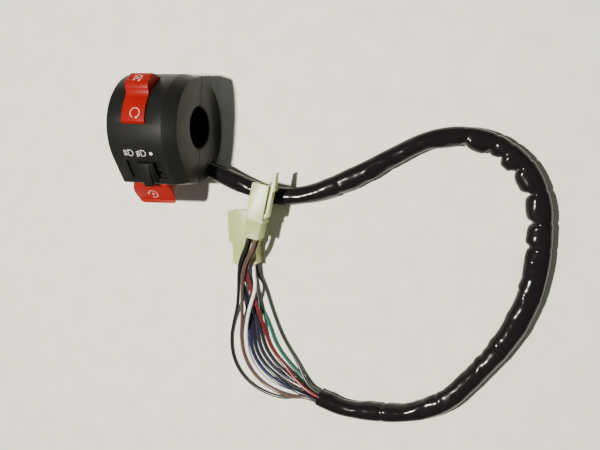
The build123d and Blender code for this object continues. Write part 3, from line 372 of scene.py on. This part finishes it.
# %% The leads' colours and the paper
WIRE_ROUGHNESS = 0.3
WIRE_COLOURS = {
    "black": (0.008, 0.008, 0.009),
    "brown": (0.075, 0.042, 0.030),
    "white": (0.72, 0.72, 0.68),
    "blue": (0.010, 0.014, 0.05),
    "navy": (0.008, 0.009, 0.022),
    "violet": (0.016, 0.014, 0.032),
    "striped": (0.012, 0.012, 0.013),
    "red": (0.14, 0.007, 0.012),
    "green": (0.012, 0.085, 0.055),
    "grey": (0.018, 0.020, 0.019),
}
wire_materials = {
    name: moulded(f"wire_{name}", colour, WIRE_ROUGHNESS) for name, colour in WIRE_COLOURS.items()
}


def paint(piece, material):
    """Give a piece one material."""
    piece.data.materials.clear()
    piece.data.materials.append(material)


paper_material = moulded("paper", (0.72, 0.71, 0.62), 0.85, bump=0.0)
paint(floor, paper_material)
print(len(wire_materials), "lead colours")

# %% [markdown]
# The frame's own pieces show wherever nothing new takes their place, as inside the drum. The record
# names each piece's finish, and a table turns that name into the material made above.

# %% Finishes of the frame's pieces
FINISHES = {
    "housing_black": housing_black, "red_switch": red_plastic, "black_knob": knob_black,
    "natural_nylon": nylon, "grommet_rubber": grommet_rubber, "zinc_steel": zinc_steel,
    "contact_brass": contact_brass, "contact_base": contact_base, "spring_steel": spring_steel,
    "white_carrier": white_carrier, "wire_black": wire_materials["black"],
}
slots = {row["node"]: row["material_slot"] for row in frame["record"]["subparts"]}
painted = 0
for name, node in nodes.items():
    if slots[name] in FINISHES:
        paint(node, FINISHES[slots[name]])
        painted += 1
print(painted, "pieces of the frame painted")

# %% [markdown]
# The solids have sharp corners, and a moulded part has none: every edge catches a thin line of light. A
# Bevel modifier would work on the frame's loose triangles and round the wrong edges. So each outside
# piece is copied, its doubled vertices are merged, its flat faces are joined again, and only the edges
# that are really sharp are bevelled. The two halves of the drum meet face to face, so their edges in the
# parting plane stay sharp and the gap between them stays thin.

# %% Soften a piece's edges
PARTING_Z = 0.0
IN_PLANE = 0.01 * MM
DOUBLES = 0.002 * MM
FLAT_ANGLE = math.radians(0.8)
CREASE_ANGLE = math.radians(40)
BEVEL_SEGMENTS = 3


def is_sharp(edge, angle):
    """Whether an edge is sharper than an angle and lies outside the parting plane."""
    if not edge.is_manifold or edge.calc_face_angle(0) <= angle:
        return False
    return not all(abs(vert.co.z - PARTING_Z) < IN_PLANE for vert in edge.verts)


def softened(name, width, body, angle):
    """A copy of a frame piece: edges sharper than an angle in degrees get a bevel, width in mm."""
    source = nodes[name]
    made = bmesh.new()
    made.from_mesh(source.data)
    made.transform(source.matrix_world)
    bmesh.ops.remove_doubles(made, verts=made.verts, dist=DOUBLES)
    bmesh.ops.dissolve_limit(
        made, angle_limit=FLAT_ANGLE, use_dissolve_boundaries=False, verts=made.verts, edges=made.edges,
    )
    bmesh.ops.recalc_face_normals(made, faces=made.faces)
    sharp = [edge for edge in made.edges if is_sharp(edge, math.radians(angle))]
    bmesh.ops.bevel(
        made, geom=sharp, offset=width * MM, offset_type="OFFSET", segments=BEVEL_SEGMENTS,
        profile=0.5, affect="EDGES", clamp_overlap=True, material=-1,
    )
    bmesh.ops.recalc_face_normals(made, faces=made.faces)
    for face in made.faces:
        face.smooth = True
    for edge in made.edges:
        edge.smooth = not edge.is_manifold or edge.calc_face_angle(0) < CREASE_ANGLE
    piece = finished(f"{name}_soft", made)
    paint(piece, FINISHES[slots[name]])
    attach(piece, body)
    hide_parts(name)
    return piece


# %% [markdown]
# The drum's end has a shallow sloped shoulder, whose edges turn by less than 28 degrees, so the two
# halves use a smaller limit. The button has the roundest edges, and the screw heads the least. Each
# copy rides on the same body as the piece that it stands for, so the controls still move.

# %% Softened copies
SHARP = 28.0
SHALLOW = 14.0
SOFT_PIECES = {
    "front_housing": (0.35, "root", SHALLOW),
    "rear_housing": (0.35, "root", SHALLOW),
    "stop_rocker": (0.35, "stop_rocker", SHARP),
    "light_slider": (0.25, "light_slider", SHARP),
    "starter_button": (0.45, "starter_button", SHARP),
    "six_way_connector": (0.25, "root", SHARP),
    "four_way_connector": (0.25, "root", SHARP),
    "cable_grommet": (0.25, "root", SHARP),
    "housing_screws": (0.15, "root", SHARP),
}
soft = {name: softened(name, *how) for name, how in SOFT_PIECES.items()}
for name, piece in soft.items():
    print(name, len(piece.data.polygons), "faces")

# %% [markdown]
# A coil spring behind the starter button pushes it back out. It stands between its seat in the drum and
# the contact bridge, so it gets shorter when the button goes in. It belongs to neither body alone, so
# the coil is copied as it is, stays with the drum and gets a mesh of its own.

coil = bmesh.new()
coil.from_mesh(nodes["starter_spring"].data)
coil.transform(nodes["starter_spring"].matrix_world)
return_spring = finished("starter_return_spring", coil)
paint(return_spring, spring_steel)
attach(return_spring, "root")
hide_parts("starter_spring")
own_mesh(return_spring)

# %% [markdown]
# A cord is a fixed length of something flexible, so its route comes before its look. The points of each
# route are the control points of one smooth spline, which bends evenly where a chain of straight runs
# would kink. The spline's own points are read back, because they give the cord's true length.

# %% Cord routes
STEPS_PER_SPAN = 12
CORD_ROUNDNESS = 5
SPLINE_ORDER = 3


def route_curve(name, points, radius):
    """One open NURBS spline through a route's control points, as a round cord."""
    data = bpy.data.curves.new(name, "CURVE")
    data.dimensions = "3D"
    data.resolution_u = STEPS_PER_SPAN
    data.bevel_depth = radius
    data.bevel_resolution = CORD_ROUNDNESS
    data.use_fill_caps = True
    spline = data.splines.new("NURBS")
    spline.points.add(len(points) - 1)
    for control, point in zip(spline.points, points):
        control.co = (*point, 1)
    spline.order_u = SPLINE_ORDER
    spline.use_endpoint_u = True
    return new_object(name, data)


def followed(name, points):
    """The points along a route's own smooth line."""
    line = route_curve(f"{name}_line", points, 0)
    mesh = bpy.data.meshes.new_from_object(line)
    path = [vertex.co.copy() for vertex in mesh.vertices]
    bpy.data.meshes.remove(mesh)
    bpy.data.objects.remove(line)
    return path


def line_length(path):
    """The length of a path of points."""
    return sum((b - a).length for a, b in zip(path, path[1:]))


# %% [markdown]
# The sleeve leaves the drum through a sloped outlet, drops onto the paper, runs in one wide loop and
# ends open, with the ten leads coming out of its mouth. Its route starts inside the outlet and ends with
# a short straight run, so that both ends point the right way. Between them its control points lie on
# the floor, half the sleeve's thickness above it.

# %% Sleeve route
SLEEVE_RADIUS = 4.8 * MM
OUTLET = place(15.3, -21.5, -15.6)
OUTLET_WAY = Vector((0.90, -0.33, -0.28)).normalized()
INSIDE_OUTLET = 8.6
OUTSIDE_OUTLET = 8.0
DROP_TO_FLOOR = place(36.5, -30.6, -23.0)
MOUTH = floor_place(87.0, -150.8, SLEEVE_RADIUS)
MOUTH_WAY = Vector((-0.951, 0.309, 0.0)).normalized()
MOUTH_RUN = 12.5
SLEEVE_FLOOR_POINTS = [
    (52.0, -35.1), (68.7, -34.9), (84.2, -29.7), (103.2, -19.9), (122.9, -8.7), (138.4, -0.2),
    (154.5, 2.4), (171.5, -0.7), (186.5, -11.4), (195.0, -27.2), (197.6, -44.7), (197.7, -62.6),
    (195.1, -80.6), (188.9, -98.2), (180.0, -112.9), (168.9, -128.4), (156.2, -144.4),
    (136.4, -152.4), (114.4, -154.9),
]
sleeve_route = [
    OUTLET - OUTLET_WAY * INSIDE_OUTLET * MM,
    OUTLET + OUTLET_WAY * OUTSIDE_OUTLET * MM,
    DROP_TO_FLOOR,
    *[floor_place(x, y, SLEEVE_RADIUS) for x, y in SLEEVE_FLOOR_POINTS],
    MOUTH - MOUTH_WAY * MOUTH_RUN * MM,
    MOUTH,
]
sleeve_path = followed("sleeve", sleeve_route)
print("sleeve route of", round(line_length(sleeve_path) / MM), "mm")

# %% [markdown]
# A tube along a route is a row of rings. Each ring needs a point on the route, at even distances so that
# the faces stay square, and a side way and an up way across the route there. The side way is kept level,
# so the tube doesn't twist, and an angle means the same side of the sleeve all along.

# %% Rings along a route
def spaced(path, step):
    """The same path with points at even distances."""
    total = line_length(path)
    count = round(total / step)
    points = []
    walked = 0
    index = 0
    for number in range(count + 1):
        goal = total * number / count
        while index < len(path) - 2 and walked + (path[index + 1] - path[index]).length < goal:
            walked += (path[index + 1] - path[index]).length
            index += 1
        run = (path[index + 1] - path[index]).length
        points.append(path[index].lerp(path[index + 1], min(1, (goal - walked) / run)))
    return points


def frames_along(points):
    """For each point: the level side way and the way up, both across the route."""
    ways = []
    for index in range(len(points)):
        along = (points[min(index + 1, len(points) - 1)] - points[max(index - 1, 0)]).normalized()
        side = UP.cross(along).normalized()
        ways.append((side, along.cross(side).normalized()))
    return ways


def tube_rings(points, radius_at, sides):
    """Rings of vertex places round the points, with a radius for each ring and angle."""
    rings = []
    for number, (point, (side, up)) in enumerate(zip(points, frames_along(points))):
        ring = []
        for step in range(sides):
            angle = 2 * math.pi * step / sides
            way = side * math.cos(angle) + up * math.sin(angle)
            ring.append(point + way * radius_at(number, angle))
        rings.append(ring)
    return rings


def tube(name, rings):
    """A piece of quads between neighbouring rings, closed at both ends."""
    made = bmesh.new()
    rows = [[made.verts.new(co) for co in ring] for ring in rings]
    sides = len(rings[0])
    for lower, upper in zip(rows, rows[1:]):
        for step in range(sides):
            after = (step + 1) % sides
            made.faces.new((lower[step], lower[after], upper[after], upper[step]))
    end_faces = [made.faces.new(rows[0]), made.faces.new(rows[-1])]
    bmesh.ops.recalc_face_normals(made, faces=made.faces)
    for face in made.faces:
        face.smooth = face not in end_faces
    return finished(name, made)


# %% [markdown]
# The sleeve is soft and loose, so it is not a plain tube. Where the loop bends it bulges on the inside
# in a row of lobes with a crease between them, and elsewhere it carries long shallow folds. Displacing
# it by noise alone would put the lobes anywhere, so each lobe and crease is listed where it really is,
# in millimetres from the drum, and noise adds only the folds. The inside of the loop is at half a turn.

# %% The sleeve's lobes, creases and folds
# Each lobe is its middle, its half length and its height, and each crease its place and its depth.
SLEEVE_LOBES = [
    (152.0, 8.0, 1.0), (168.5, 6.0, 2.0), (179.0, 3.8, 0.7), (188.0, 5.0, 3.1), (201.0, 7.0, 3.3),
    (217.0, 7.5, 3.0), (231.0, 5.5, 2.4), (246.0, 8.0, 0.8), (268.0, 36.0, 2.4), (330.0, 30.0, 1.2),
    (95.0, 22.0, 1.5),
]
SLEEVE_CREASES = [
    (160.5, 1.0), (175.0, 1.3), (182.5, 1.2), (193.5, 1.5), (209.0, 1.5), (224.5, 1.3), (238.0, 0.9),
    (373.5, 0.8), (340.0, 0.5), (262.0, 0.5), (88.5, 0.5),
]
CREASE_LEAN = 1.6
CREASE_WIDTH = 0.9
CREASE_OUTSIDE = 0.35
FOLD_LENGTH = 16.0
FOLD_DEPTH = 0.54
FOLD_OUTSIDE = 0.25
FOLD_SPREAD = 0.55
FOLD_STEEPNESS = 3.2
FOLD_HOLLOW = 0.35
FINE_LENGTH = 4.5
FINE_DEPTH = 0.28
FINE_SPREAD = 2.2
FINE_SHIFT = 9
LARGEST_BULGE = 3.1
LARGEST_DIP = 1.3


def lobes_and_creases(position, angle):
    """How far the lobes and creases move the skin, in millimetres."""
    inside = max(0.0, -math.cos(angle)) ** 2.0
    rise = 0.0
    for middle, half, height in SLEEVE_LOBES:
        share = abs(position - middle) / half
        if share < 1:
            rise += height * inside * math.sqrt(1 - share ** 2)
    for middle, depth in SLEEVE_CREASES:
        lean = middle + CREASE_LEAN * math.sin(angle)
        strength = CREASE_OUTSIDE + (1 - CREASE_OUTSIDE) * inside
        rise -= depth * strength * math.exp(-((position - lean) / CREASE_WIDTH) ** 2)
    return rise


def folds(position, angle):
    """How far the long folds and the fine ones move the skin, in millimetres."""
    around = Vector((math.cos(angle), math.sin(angle), 0)) * FOLD_SPREAD
    slow = noise_value(around + Vector((0, 0, position / FOLD_LENGTH)))
    quick = noise_value(around * FINE_SPREAD + Vector((FINE_SHIFT, 0, position / FINE_LENGTH)))
    ridge = 1 - abs(slow) * FOLD_STEEPNESS
    if ridge < 0:
        ridge *= FOLD_HOLLOW
    loose = FOLD_OUTSIDE + (1 - FOLD_OUTSIDE) * (0.5 - 0.5 * math.cos(angle))
    return loose * (FOLD_DEPTH * ridge + FINE_DEPTH * quick)


def swell(position, angle):
    """How far the skin stands out from its plain radius, kept within what the vinyl allows."""
    rise = lobes_and_creases(position, angle) + folds(position, angle)
    return max(-LARGEST_DIP, min(LARGEST_BULGE, rise))


print(len(SLEEVE_LOBES), "lobes and", len(SLEEVE_CREASES), "creases")

# %% [markdown]
# The sleeve is plain where the outlet grips it, and nearly plain at its mouth. Every vertex is kept
# above the floor, which flattens the underside as its weight does. At the mouth a second row of rings
# runs back inside at the thickness of the wall, so the end is a real opening that the leads go into.

# %% Sleeve
RING_STEP = 0.9 * MM
RING_SIDES = 44
PLAIN_END = 12.0
MOUTH_LUMPS = 0.35
SLEEVE_WALL = 0.6 * MM
MOUTH_DEPTH = 7.0 * MM

sleeve_points = spaced(sleeve_path, RING_STEP)
last_ring = len(sleeve_points) - 1
sleeve_length = line_length(sleeve_points)


def sleeve_radius(number, angle):
    """The outer radius at a ring: plain at the outlet and lumpy further on."""
    position = number * sleeve_length / last_ring / MM
    ease = min(1.0, max(0.0, (position - PLAIN_END) / PLAIN_END))
    ease = min(ease, MOUTH_LUMPS + max(0.0, sleeve_length / MM - position) / PLAIN_END)
    return SLEEVE_RADIUS + swell(position, angle) * ease * MM


sleeve_rings = tube_rings(sleeve_points, sleeve_radius, RING_SIDES)
for ring in sleeve_rings:
    for co in ring:
        co.z = max(co.z, floor_z)
inner_rings = []
for back in range(round(MOUTH_DEPTH / RING_STEP) + 1):
    centre = sleeve_points[last_ring - back]
    spokes = [co - centre for co in sleeve_rings[last_ring - back]]
    inner_rings.append([centre + spoke * (1 - SLEEVE_WALL / spoke.length) for spoke in spokes])
sleeve = tube("harness_sleeve_tube", sleeve_rings + inner_rings)
paint(sleeve, sleeve_vinyl)
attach(sleeve, "root")
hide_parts("harness_sleeve")
print("sleeve", round(line_length(sleeve_path) / MM), "mm,", len(sleeve_rings), "rings")

# %% [markdown]
# Ten leads run from the connectors back to the sleeve's mouth. Each starts inside a connector, in one of
# its terminals, and ends inside the mouth, where eight leads stand in a ring round a pair in the middle.
# Both ends get a short straight run, so the spline enters squarely. A connector's own frame stands on
# the floor and is turned, and its columns and rows are those of its terminals.

# %% Where the leads start and end
WIRE_RADIUS = 1.0 * MM
INSIDE_CONNECTOR = 5.0
BEHIND_CONNECTOR = 10.0
MOUTH_SEATS = 8
SEAT_RING = 3.05 * MM
FIRST_SEAT = 22.5
PAIR_PLACE = 1.05 * MM
INSIDE_MOUTH = 6.0


def connector_frame(x, y, turn):
    """A connector's frame: its place on the floor, and its turn in degrees."""
    return Matrix.Translation(floor_place(x, y, 0)) @ Matrix.Rotation(math.radians(turn), 4, "Z")


# Each connector is its frame, its length, its terminals' columns and their heights.
CONNECTORS = {
    "six": (connector_frame(37.7, -44.5, 4.8), 31.6, (-4.6, -0.1, 4.4), (3.4, 8.0)),
    "four": (connector_frame(52.5, -28.5, -9.3), 30.6, (-2.1, 2.1), (15.1, 19.7)),
}


def wire_start(connector, column, row):
    """A lead's first two points: in its terminal, and straight behind the connector."""
    matrix, length, columns, rows = CONNECTORS[connector]
    inside = length - INSIDE_CONNECTOR
    outside = inside + BEHIND_CONNECTOR
    return [
        matrix @ place(columns[column], -inside, rows[row]),
        matrix @ place(columns[column], -outside, rows[row]),
    ]


def wire_end(seat):
    """A lead's last two points: straight inside the sleeve's mouth, and in its seat at the rim."""
    across = Vector((MOUTH_WAY.y, -MOUTH_WAY.x, 0))
    if seat < MOUTH_SEATS:
        turn = math.radians(FIRST_SEAT + 360 / MOUTH_SEATS * seat)
        sideways = SEAT_RING * math.cos(turn)
        rise = SEAT_RING * math.sin(turn)
    else:
        sideways = PAIR_PLACE * (-1 if seat == MOUTH_SEATS else 1)
        rise = 0
    where = MOUTH + across * sideways + UP * rise
    return [where + MOUTH_WAY * INSIDE_MOUTH * MM, where]


print("connectors:", *CONNECTORS)

# %% [markdown]
# Between its ends each lead follows its own line, traced over the photograph. A point with two numbers
# lies on the floor and one with three passes over other leads at that height, so that no two leads run
# through each other. Each entry is the connector, the terminal's column and row, the seat in the mouth,
# and the points in between.

# %% Lead routes
wire_routes = {
    "black": ("four", 0, 1, 4, [
        (40.6, -71.0, -10.5), (38.2, -79.0, -14.2), (36.4, -91.5, -19.5), (34.0, -103.5, -25.0),
        (31.0, -114.2), (29.6, -124.8), (31.4, -136.4), (37.0, -146.0), (45.2, -152.6),
        (55.2, -156.2), (64.4, -157.2, -27.1), (72.4, -154.9, -26.4),
    ]),
    "brown": ("four", 1, 1, 3, [
        (44.6, -71.2, -9.6), (41.0, -78.6, -13.4), (39.6, -90.4, -16.8), (38.2, -102.4, -21.6),
        (36.6, -113.0, -26.4), (36.0, -122.8), (38.2, -134.0), (43.6, -143.4), (51.6, -150.2),
        (61.2, -153.8, -26.6), (71.4, -154.2, -23.8),
    ]),
    "white": ("six", 2, 1, 5, [
        (47.6, -89.2, -18.2), (44.8, -99.6, -17.7), (41.8, -109.8, -21.4), (39.6, -119.8, -26.2),
        (40.2, -129.6), (43.6, -138.0), (49.2, -144.6), (56.4, -149.4), (64.4, -151.9),
        (72.6, -151.8, -27.1),
    ]),
    "blue": ("six", 0, 1, 8, [
        (37.4, -91.4, -23.2), (39.2, -102.0, -26.4), (40.7, -112.0), (41.9, -121.4), (43.6, -131.2),
        (48.8, -139.4), (56.2, -145.4, -27.0), (64.8, -148.9, -25.8), (73.0, -149.6, -23.6),
    ]),
    "navy": ("four", 0, 0, 2, [
        (41.0, -71.2, -15.0), (38.6, -79.0, -17.1), (39.4, -89.6, -19.8), (40.8, -100.0, -23.8),
        (43.1, -110.6, -26.6), (44.4, -120.6), (46.2, -129.8), (51.3, -137.4), (58.4, -142.8, -26.6),
        (66.6, -146.6, -24.0), (73.4, -148.6, -21.0),
    ]),
    "violet": ("six", 1, 1, 6, [
        (43.0, -90.6, -22.2), (44.0, -101.0, -24.9), (45.6, -111.0), (46.8, -119.8), (49.0, -128.4),
        (54.0, -135.6), (60.9, -141.0), (68.4, -144.8), (75.4, -146.8, -27.1),
    ]),
    "striped": ("six", 1, 0, 9, [
        (44.4, -90.2, -25.2), (46.8, -100.2, -24.5), (48.0, -109.8, -26.0), (49.3, -118.6),
        (51.8, -126.8), (56.8, -133.8), (63.4, -139.4, -26.8), (71.0, -143.8, -25.0),
    ]),
    "red": ("four", 1, 0, 1, [
        (44.6, -71.6, -14.8), (41.4, -79.0, -16.6), (43.6, -89.2, -19.4), (46.8, -99.0, -21.2),
        (49.9, -108.6, -23.4), (52.0, -117.6, -26.8), (54.7, -125.2), (59.7, -131.8),
        (66.2, -137.4, -26.0), (72.6, -142.4, -23.2),
    ]),
    "green": ("six", 0, 0, 7, [
        (39.4, -90.6), (45.2, -99.2), (50.8, -106.4), (54.6, -114.0), (57.8, -122.2), (62.8, -129.6),
        (69.0, -135.8), (75.2, -141.2, -26.4),
    ]),
    "grey": ("six", 2, 0, 0, [
        (50.6, -89.8), (54.2, -99.8), (58.0, -109.0), (62.0, -117.6), (67.0, -125.4),
        (72.4, -132.4, -26.6), (76.6, -139.2, -24.4),
    ]),
}
print(len(wire_routes), "lead routes")

# %% [markdown]
# One lead is dark with a pale line that winds slowly round it. A texture would need coordinates that
# follow the lead, while a tube of rings already has them: a face's ring and side numbers say how far
# along and how far round it is. So this lead is a tube, and the faces under the line get a pale finish.

# %% Striped lead
STRIPE_SIDES = 16
STRIPE_FACES = (3, 4)
STRIPE_QUARTER_TURN = 26.0 * MM


def striped_wire(path):
    """A dark lead with a pale line round it, which takes that distance for a quarter turn."""
    lead = tube("striped_lead", tube_rings(
        spaced(path, RING_STEP), lambda number, angle: WIRE_RADIUS, STRIPE_SIDES
    ))
    lead.data.materials.append(wire_materials["striped"])
    lead.data.materials.append(wire_materials["white"])
    for index, face in enumerate(lead.data.polygons[:-2]):
        ring, side = divmod(index, STRIPE_SIDES)
        moved = side + STRIPE_SIDES * ring * RING_STEP / STRIPE_QUARTER_TURN / 4
        if int(moved) % STRIPE_SIDES in STRIPE_FACES:
            face.material_index = 1
    return lead


# %% [markdown]
# The other leads are plain, so the spline itself is given a round section and stays a curve. The striped
# one is a mesh of rings along its path. Each lead's length along its path is printed.

# %% Leads
for name, (connector, column, row, seat, places) in wire_routes.items():
    middle = [
        place(*point) if len(point) == 3 else floor_place(*point, WIRE_RADIUS) for point in places
    ]
    points = wire_start(connector, column, row) + middle + wire_end(seat)
    path = followed(name, points)
    if name == "striped":
        wire = striped_wire(path)
    else:
        wire = route_curve(f"{name}_lead", points, WIRE_RADIUS)
        paint(wire, wire_materials[name])
    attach(wire, "root")
    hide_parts(f"wire_{name}")
    print(name, round(line_length(path) / MM), "mm")

# %% [markdown]
# The controls carry plain printed symbols. A picture texture would blur on such small marks, so each
# symbol is drawn flat in millimetres, as strokes of one width and as filled patches. A few helpers give
# the forms that come back: arcs, and the small triangle at an arrow's end.

# %% Drawing helpers
ARC_STEPS = 28
ARROW_HALF_WIDTH = 0.7


def arc_points(centre, radius, start, end, steps=ARC_STEPS):
    """Points on an arc, angles in degrees."""
    angles = [math.radians(start + (end - start) * k / steps) for k in range(steps + 1)]
    return [(centre[0] + radius * math.cos(a), centre[1] + radius * math.sin(a)) for a in angles]


def arrow_head(tip, way, size):
    """A small triangle that points along a way, angle in degrees."""
    turn = math.radians(way)
    along = Vector((math.cos(turn), math.sin(turn))) * size
    across = Vector((-math.sin(turn), math.cos(turn))) * size * ARROW_HALF_WIDTH
    foot = Vector(tip)
    return [tuple(foot + along), tuple(foot + across), tuple(foot - across)]


# %% [markdown]
# Ink follows the surface that it is printed on. So every point of a drawing is cast straight onto the
# piece below it, and lifted by the thickness of the ink. Long strokes are first cut into short steps,
# because only their vertices touch the curved surface. A spot is a place over the surface, the way that
# is up in the drawing, and the way out of the surface.

# %% Lay a print on a surface
PRINT_LIFT = 0.03 * MM
PRINT_STEP = 0.35
CAST_HEIGHT = 12 * MM


def in_steps(stroke):
    """A stroke's points, with more between them so that no step is long."""
    points = [Vector(stroke[0])]
    for a, b in zip(stroke, stroke[1:]):
        pieces = max(1, math.ceil(math.dist(a, b) / PRINT_STEP))
        points += [Vector(a).lerp(Vector(b), k / pieces) for k in range(1, pieces + 1)]
    return points


def laid_print(name, strokes, patches, width, spot, target, body, ink=print_pale):
    """Strokes and patches of a flat drawing, cast onto a target's surface at a spot."""
    centre, up, towards = spot
    right = up.cross(towards).normalized()
    surface = BVHTree.FromPolygons(
        [vertex.co for vertex in target.data.vertices],
        [tuple(face.vertices) for face in target.data.polygons],
    )

    def on_surface(u, v):
        """The place on the surface under a point of the drawing."""
        start = centre + right * (u * MM) + up * (v * MM) + towards * CAST_HEIGHT
        hit = surface.ray_cast(start, -towards)[0]
        if hit is None:
            raise ValueError(f"{name} misses its surface at {u:.1f}, {v:.1f}")
        return hit + towards * PRINT_LIFT

    made = bmesh.new()
    for stroke in strokes:
        points = in_steps(stroke)
        rows = []
        for index, point in enumerate(points):
            along = points[min(index + 1, len(points) - 1)] - points[max(index - 1, 0)]
            across = Vector((-along.y, along.x)).normalized() * width / 2
            rows.append([made.verts.new(on_surface(*(point + across * side))) for side in (-1, 0, 1)])
        for lower, upper in zip(rows, rows[1:]):
            for side in (0, 1):
                made.faces.new((lower[side], lower[side + 1], upper[side + 1], upper[side]))
    for patch in patches:
        made.faces.new([made.verts.new(on_surface(*point)) for point in patch])
    bmesh.ops.recalc_face_normals(made, faces=made.faces)
    for face in made.faces:
        if face.normal.dot(towards) < 0:
            face.normal_flip()
    piece = finished(name, made)
    paint(piece, ink)
    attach(piece, body)
    print(name, len(piece.data.polygons), "faces")
    return piece


# %% [markdown]
# The rocker stops the engine. On its lower end an open circular arrow means run, and on its upper end
# the same arrow with a cross means off. Both ends lean differently, so each symbol's spot is found by an
# angle round the drum. The symbols ride on the rocker and tip with it.

# %% Run and off symbols
DRUM_CENTRE_Y = -1.05
DRUM_RADIUS = 29.0


def on_drum(x, rise, angle):
    """A spot over the drum: x and the height over the skin in mm, and an angle round the bar."""
    turn = math.radians(angle)
    radius = DRUM_RADIUS + rise
    outwards = Vector((0, math.sin(turn), math.cos(turn)))
    up = Vector((0, math.cos(turn), -math.sin(turn)))
    where = place(x, DRUM_CENTRE_Y + radius * math.sin(turn), radius * math.cos(turn))
    return where, up, outwards


MIDDLE = (0, 0)
RUN_SPOT = on_drum(-2.5, 1, 10.2)
RUN_RADIUS = 2.55
RUN_ARC = (-62, 242)
RUN_HEAD_WAY = -160
RUN_HEAD_SIZE = 0.9
RUN_STROKE = 0.34
run_ring = arc_points(MIDDLE, RUN_RADIUS, *RUN_ARC)
run_head = arrow_head(run_ring[0], RUN_HEAD_WAY, RUN_HEAD_SIZE)
laid_print(
    "run_symbol", [run_ring], [run_head], RUN_STROKE, RUN_SPOT, soft["stop_rocker"], "stop_rocker",
)

OFF_SPOT = on_drum(-3.7, 4, 42.6)
OFF_RADIUS = 2.1
OFF_ARC = (-55, 235)
OFF_HEAD_WAY = -150
OFF_HEAD_SIZE = 0.8
OFF_STROKE = 0.27
CROSS_ENDS = ((2.6, 1.6), (-2.08, 1.9))
off_ring = arc_points(MIDDLE, OFF_RADIUS, *OFF_ARC)
off_head = arrow_head(off_ring[0], OFF_HEAD_WAY, OFF_HEAD_SIZE)
off_cross = [[(-x, -y), (x, y)] for x, y in CROSS_ENDS]
laid_print(
    "off_symbol", [off_ring, *off_cross], [off_head], OFF_STROKE, OFF_SPOT,
    soft["stop_rocker"], "stop_rocker",
)

# %% [markdown]
# The starter button shows an arrow that turns round a bolt. Its face is a slope of its own below the
# drum, so its spot is written out, with the way up along the slope and the way out of it.

# %% Start symbol
START_SPOT = (
    place(-5.3, -37.0, 6.4),
    Vector((0, 8.7, 8.4)).normalized(),
    Vector((0, -8.4, 8.7)).normalized(),
)
START_RADIUS = 2.6
START_ARC = (-120, 165)
START_HEAD_WAY = -105
START_HEAD_SIZE = 0.95
START_STROKE = 0.33
BOLT = [(0.55, 1.5), (-0.75, -0.15), (0.1, -0.15), (-0.5, -1.5), (0.85, 0.3), (0.0, 0.3)]
start_ring = arc_points(MIDDLE, START_RADIUS, *START_ARC)
start_head = arrow_head(start_ring[-1], START_HEAD_WAY, START_HEAD_SIZE)
laid_print(
    "start_symbol", [start_ring], [start_head, BOLT], START_STROKE, START_SPOT,
    soft["starter_button"], "starter_button",
)

# %% [markdown]
# Over the light slide stand its three settings: a lamp with level beams, a lamp with sloped beams, and a
# dot. Seen from the side a lamp is four beam lines and a D, so one function draws both lamps, and a
# slant tips the beams.

# %% Lamp symbols
LAMP_HIGH = 3.3
LAMP_STROKE = 0.3
BEAM_LONG = 1.9
BEAM_HEIGHTS = (-1.25, -0.42, 0.42, 1.25)
GLASS_PLACE = 2.7
GLASS_FLAT = 0.9
GLASS_STEPS = 18
LEVEL_LAMP_LEFT = -11.1
SLOPED_LAMP_LEFT = -3.9
BEAM_SLANT = 0.7
DOT_PLACE = (4.45, 0)
DOT_RADIUS = 0.9
DOT_SIDES = 24
LAMPS_SPOT = on_drum(0, 0, -29.8)


def lamp_symbol(left, slant):
    """A lamp seen from the side: four beam lines on the left and a D shape on the right."""
    beams = [[(left, height - slant), (left + BEAM_LONG, height)] for height in BEAM_HEIGHTS]
    half = LAMP_HIGH / 2
    back = left + GLASS_PLACE
    front = arc_points((back + GLASS_FLAT, 0), half, 90, -90, GLASS_STEPS)
    glass = [(back, -half), (back, half), *front, (back, -half)]
    return [*beams, glass]


lamps = [*lamp_symbol(LEVEL_LAMP_LEFT, 0), *lamp_symbol(SLOPED_LAMP_LEFT, BEAM_SLANT)]
dot = arc_points(DOT_PLACE, DOT_RADIUS, 0, 360, DOT_SIDES)[:-1]
laid_print(
    "light_symbols", lamps, [dot], LAMP_STROKE, LAMPS_SPOT, soft["front_housing"], "root", print_white,
)
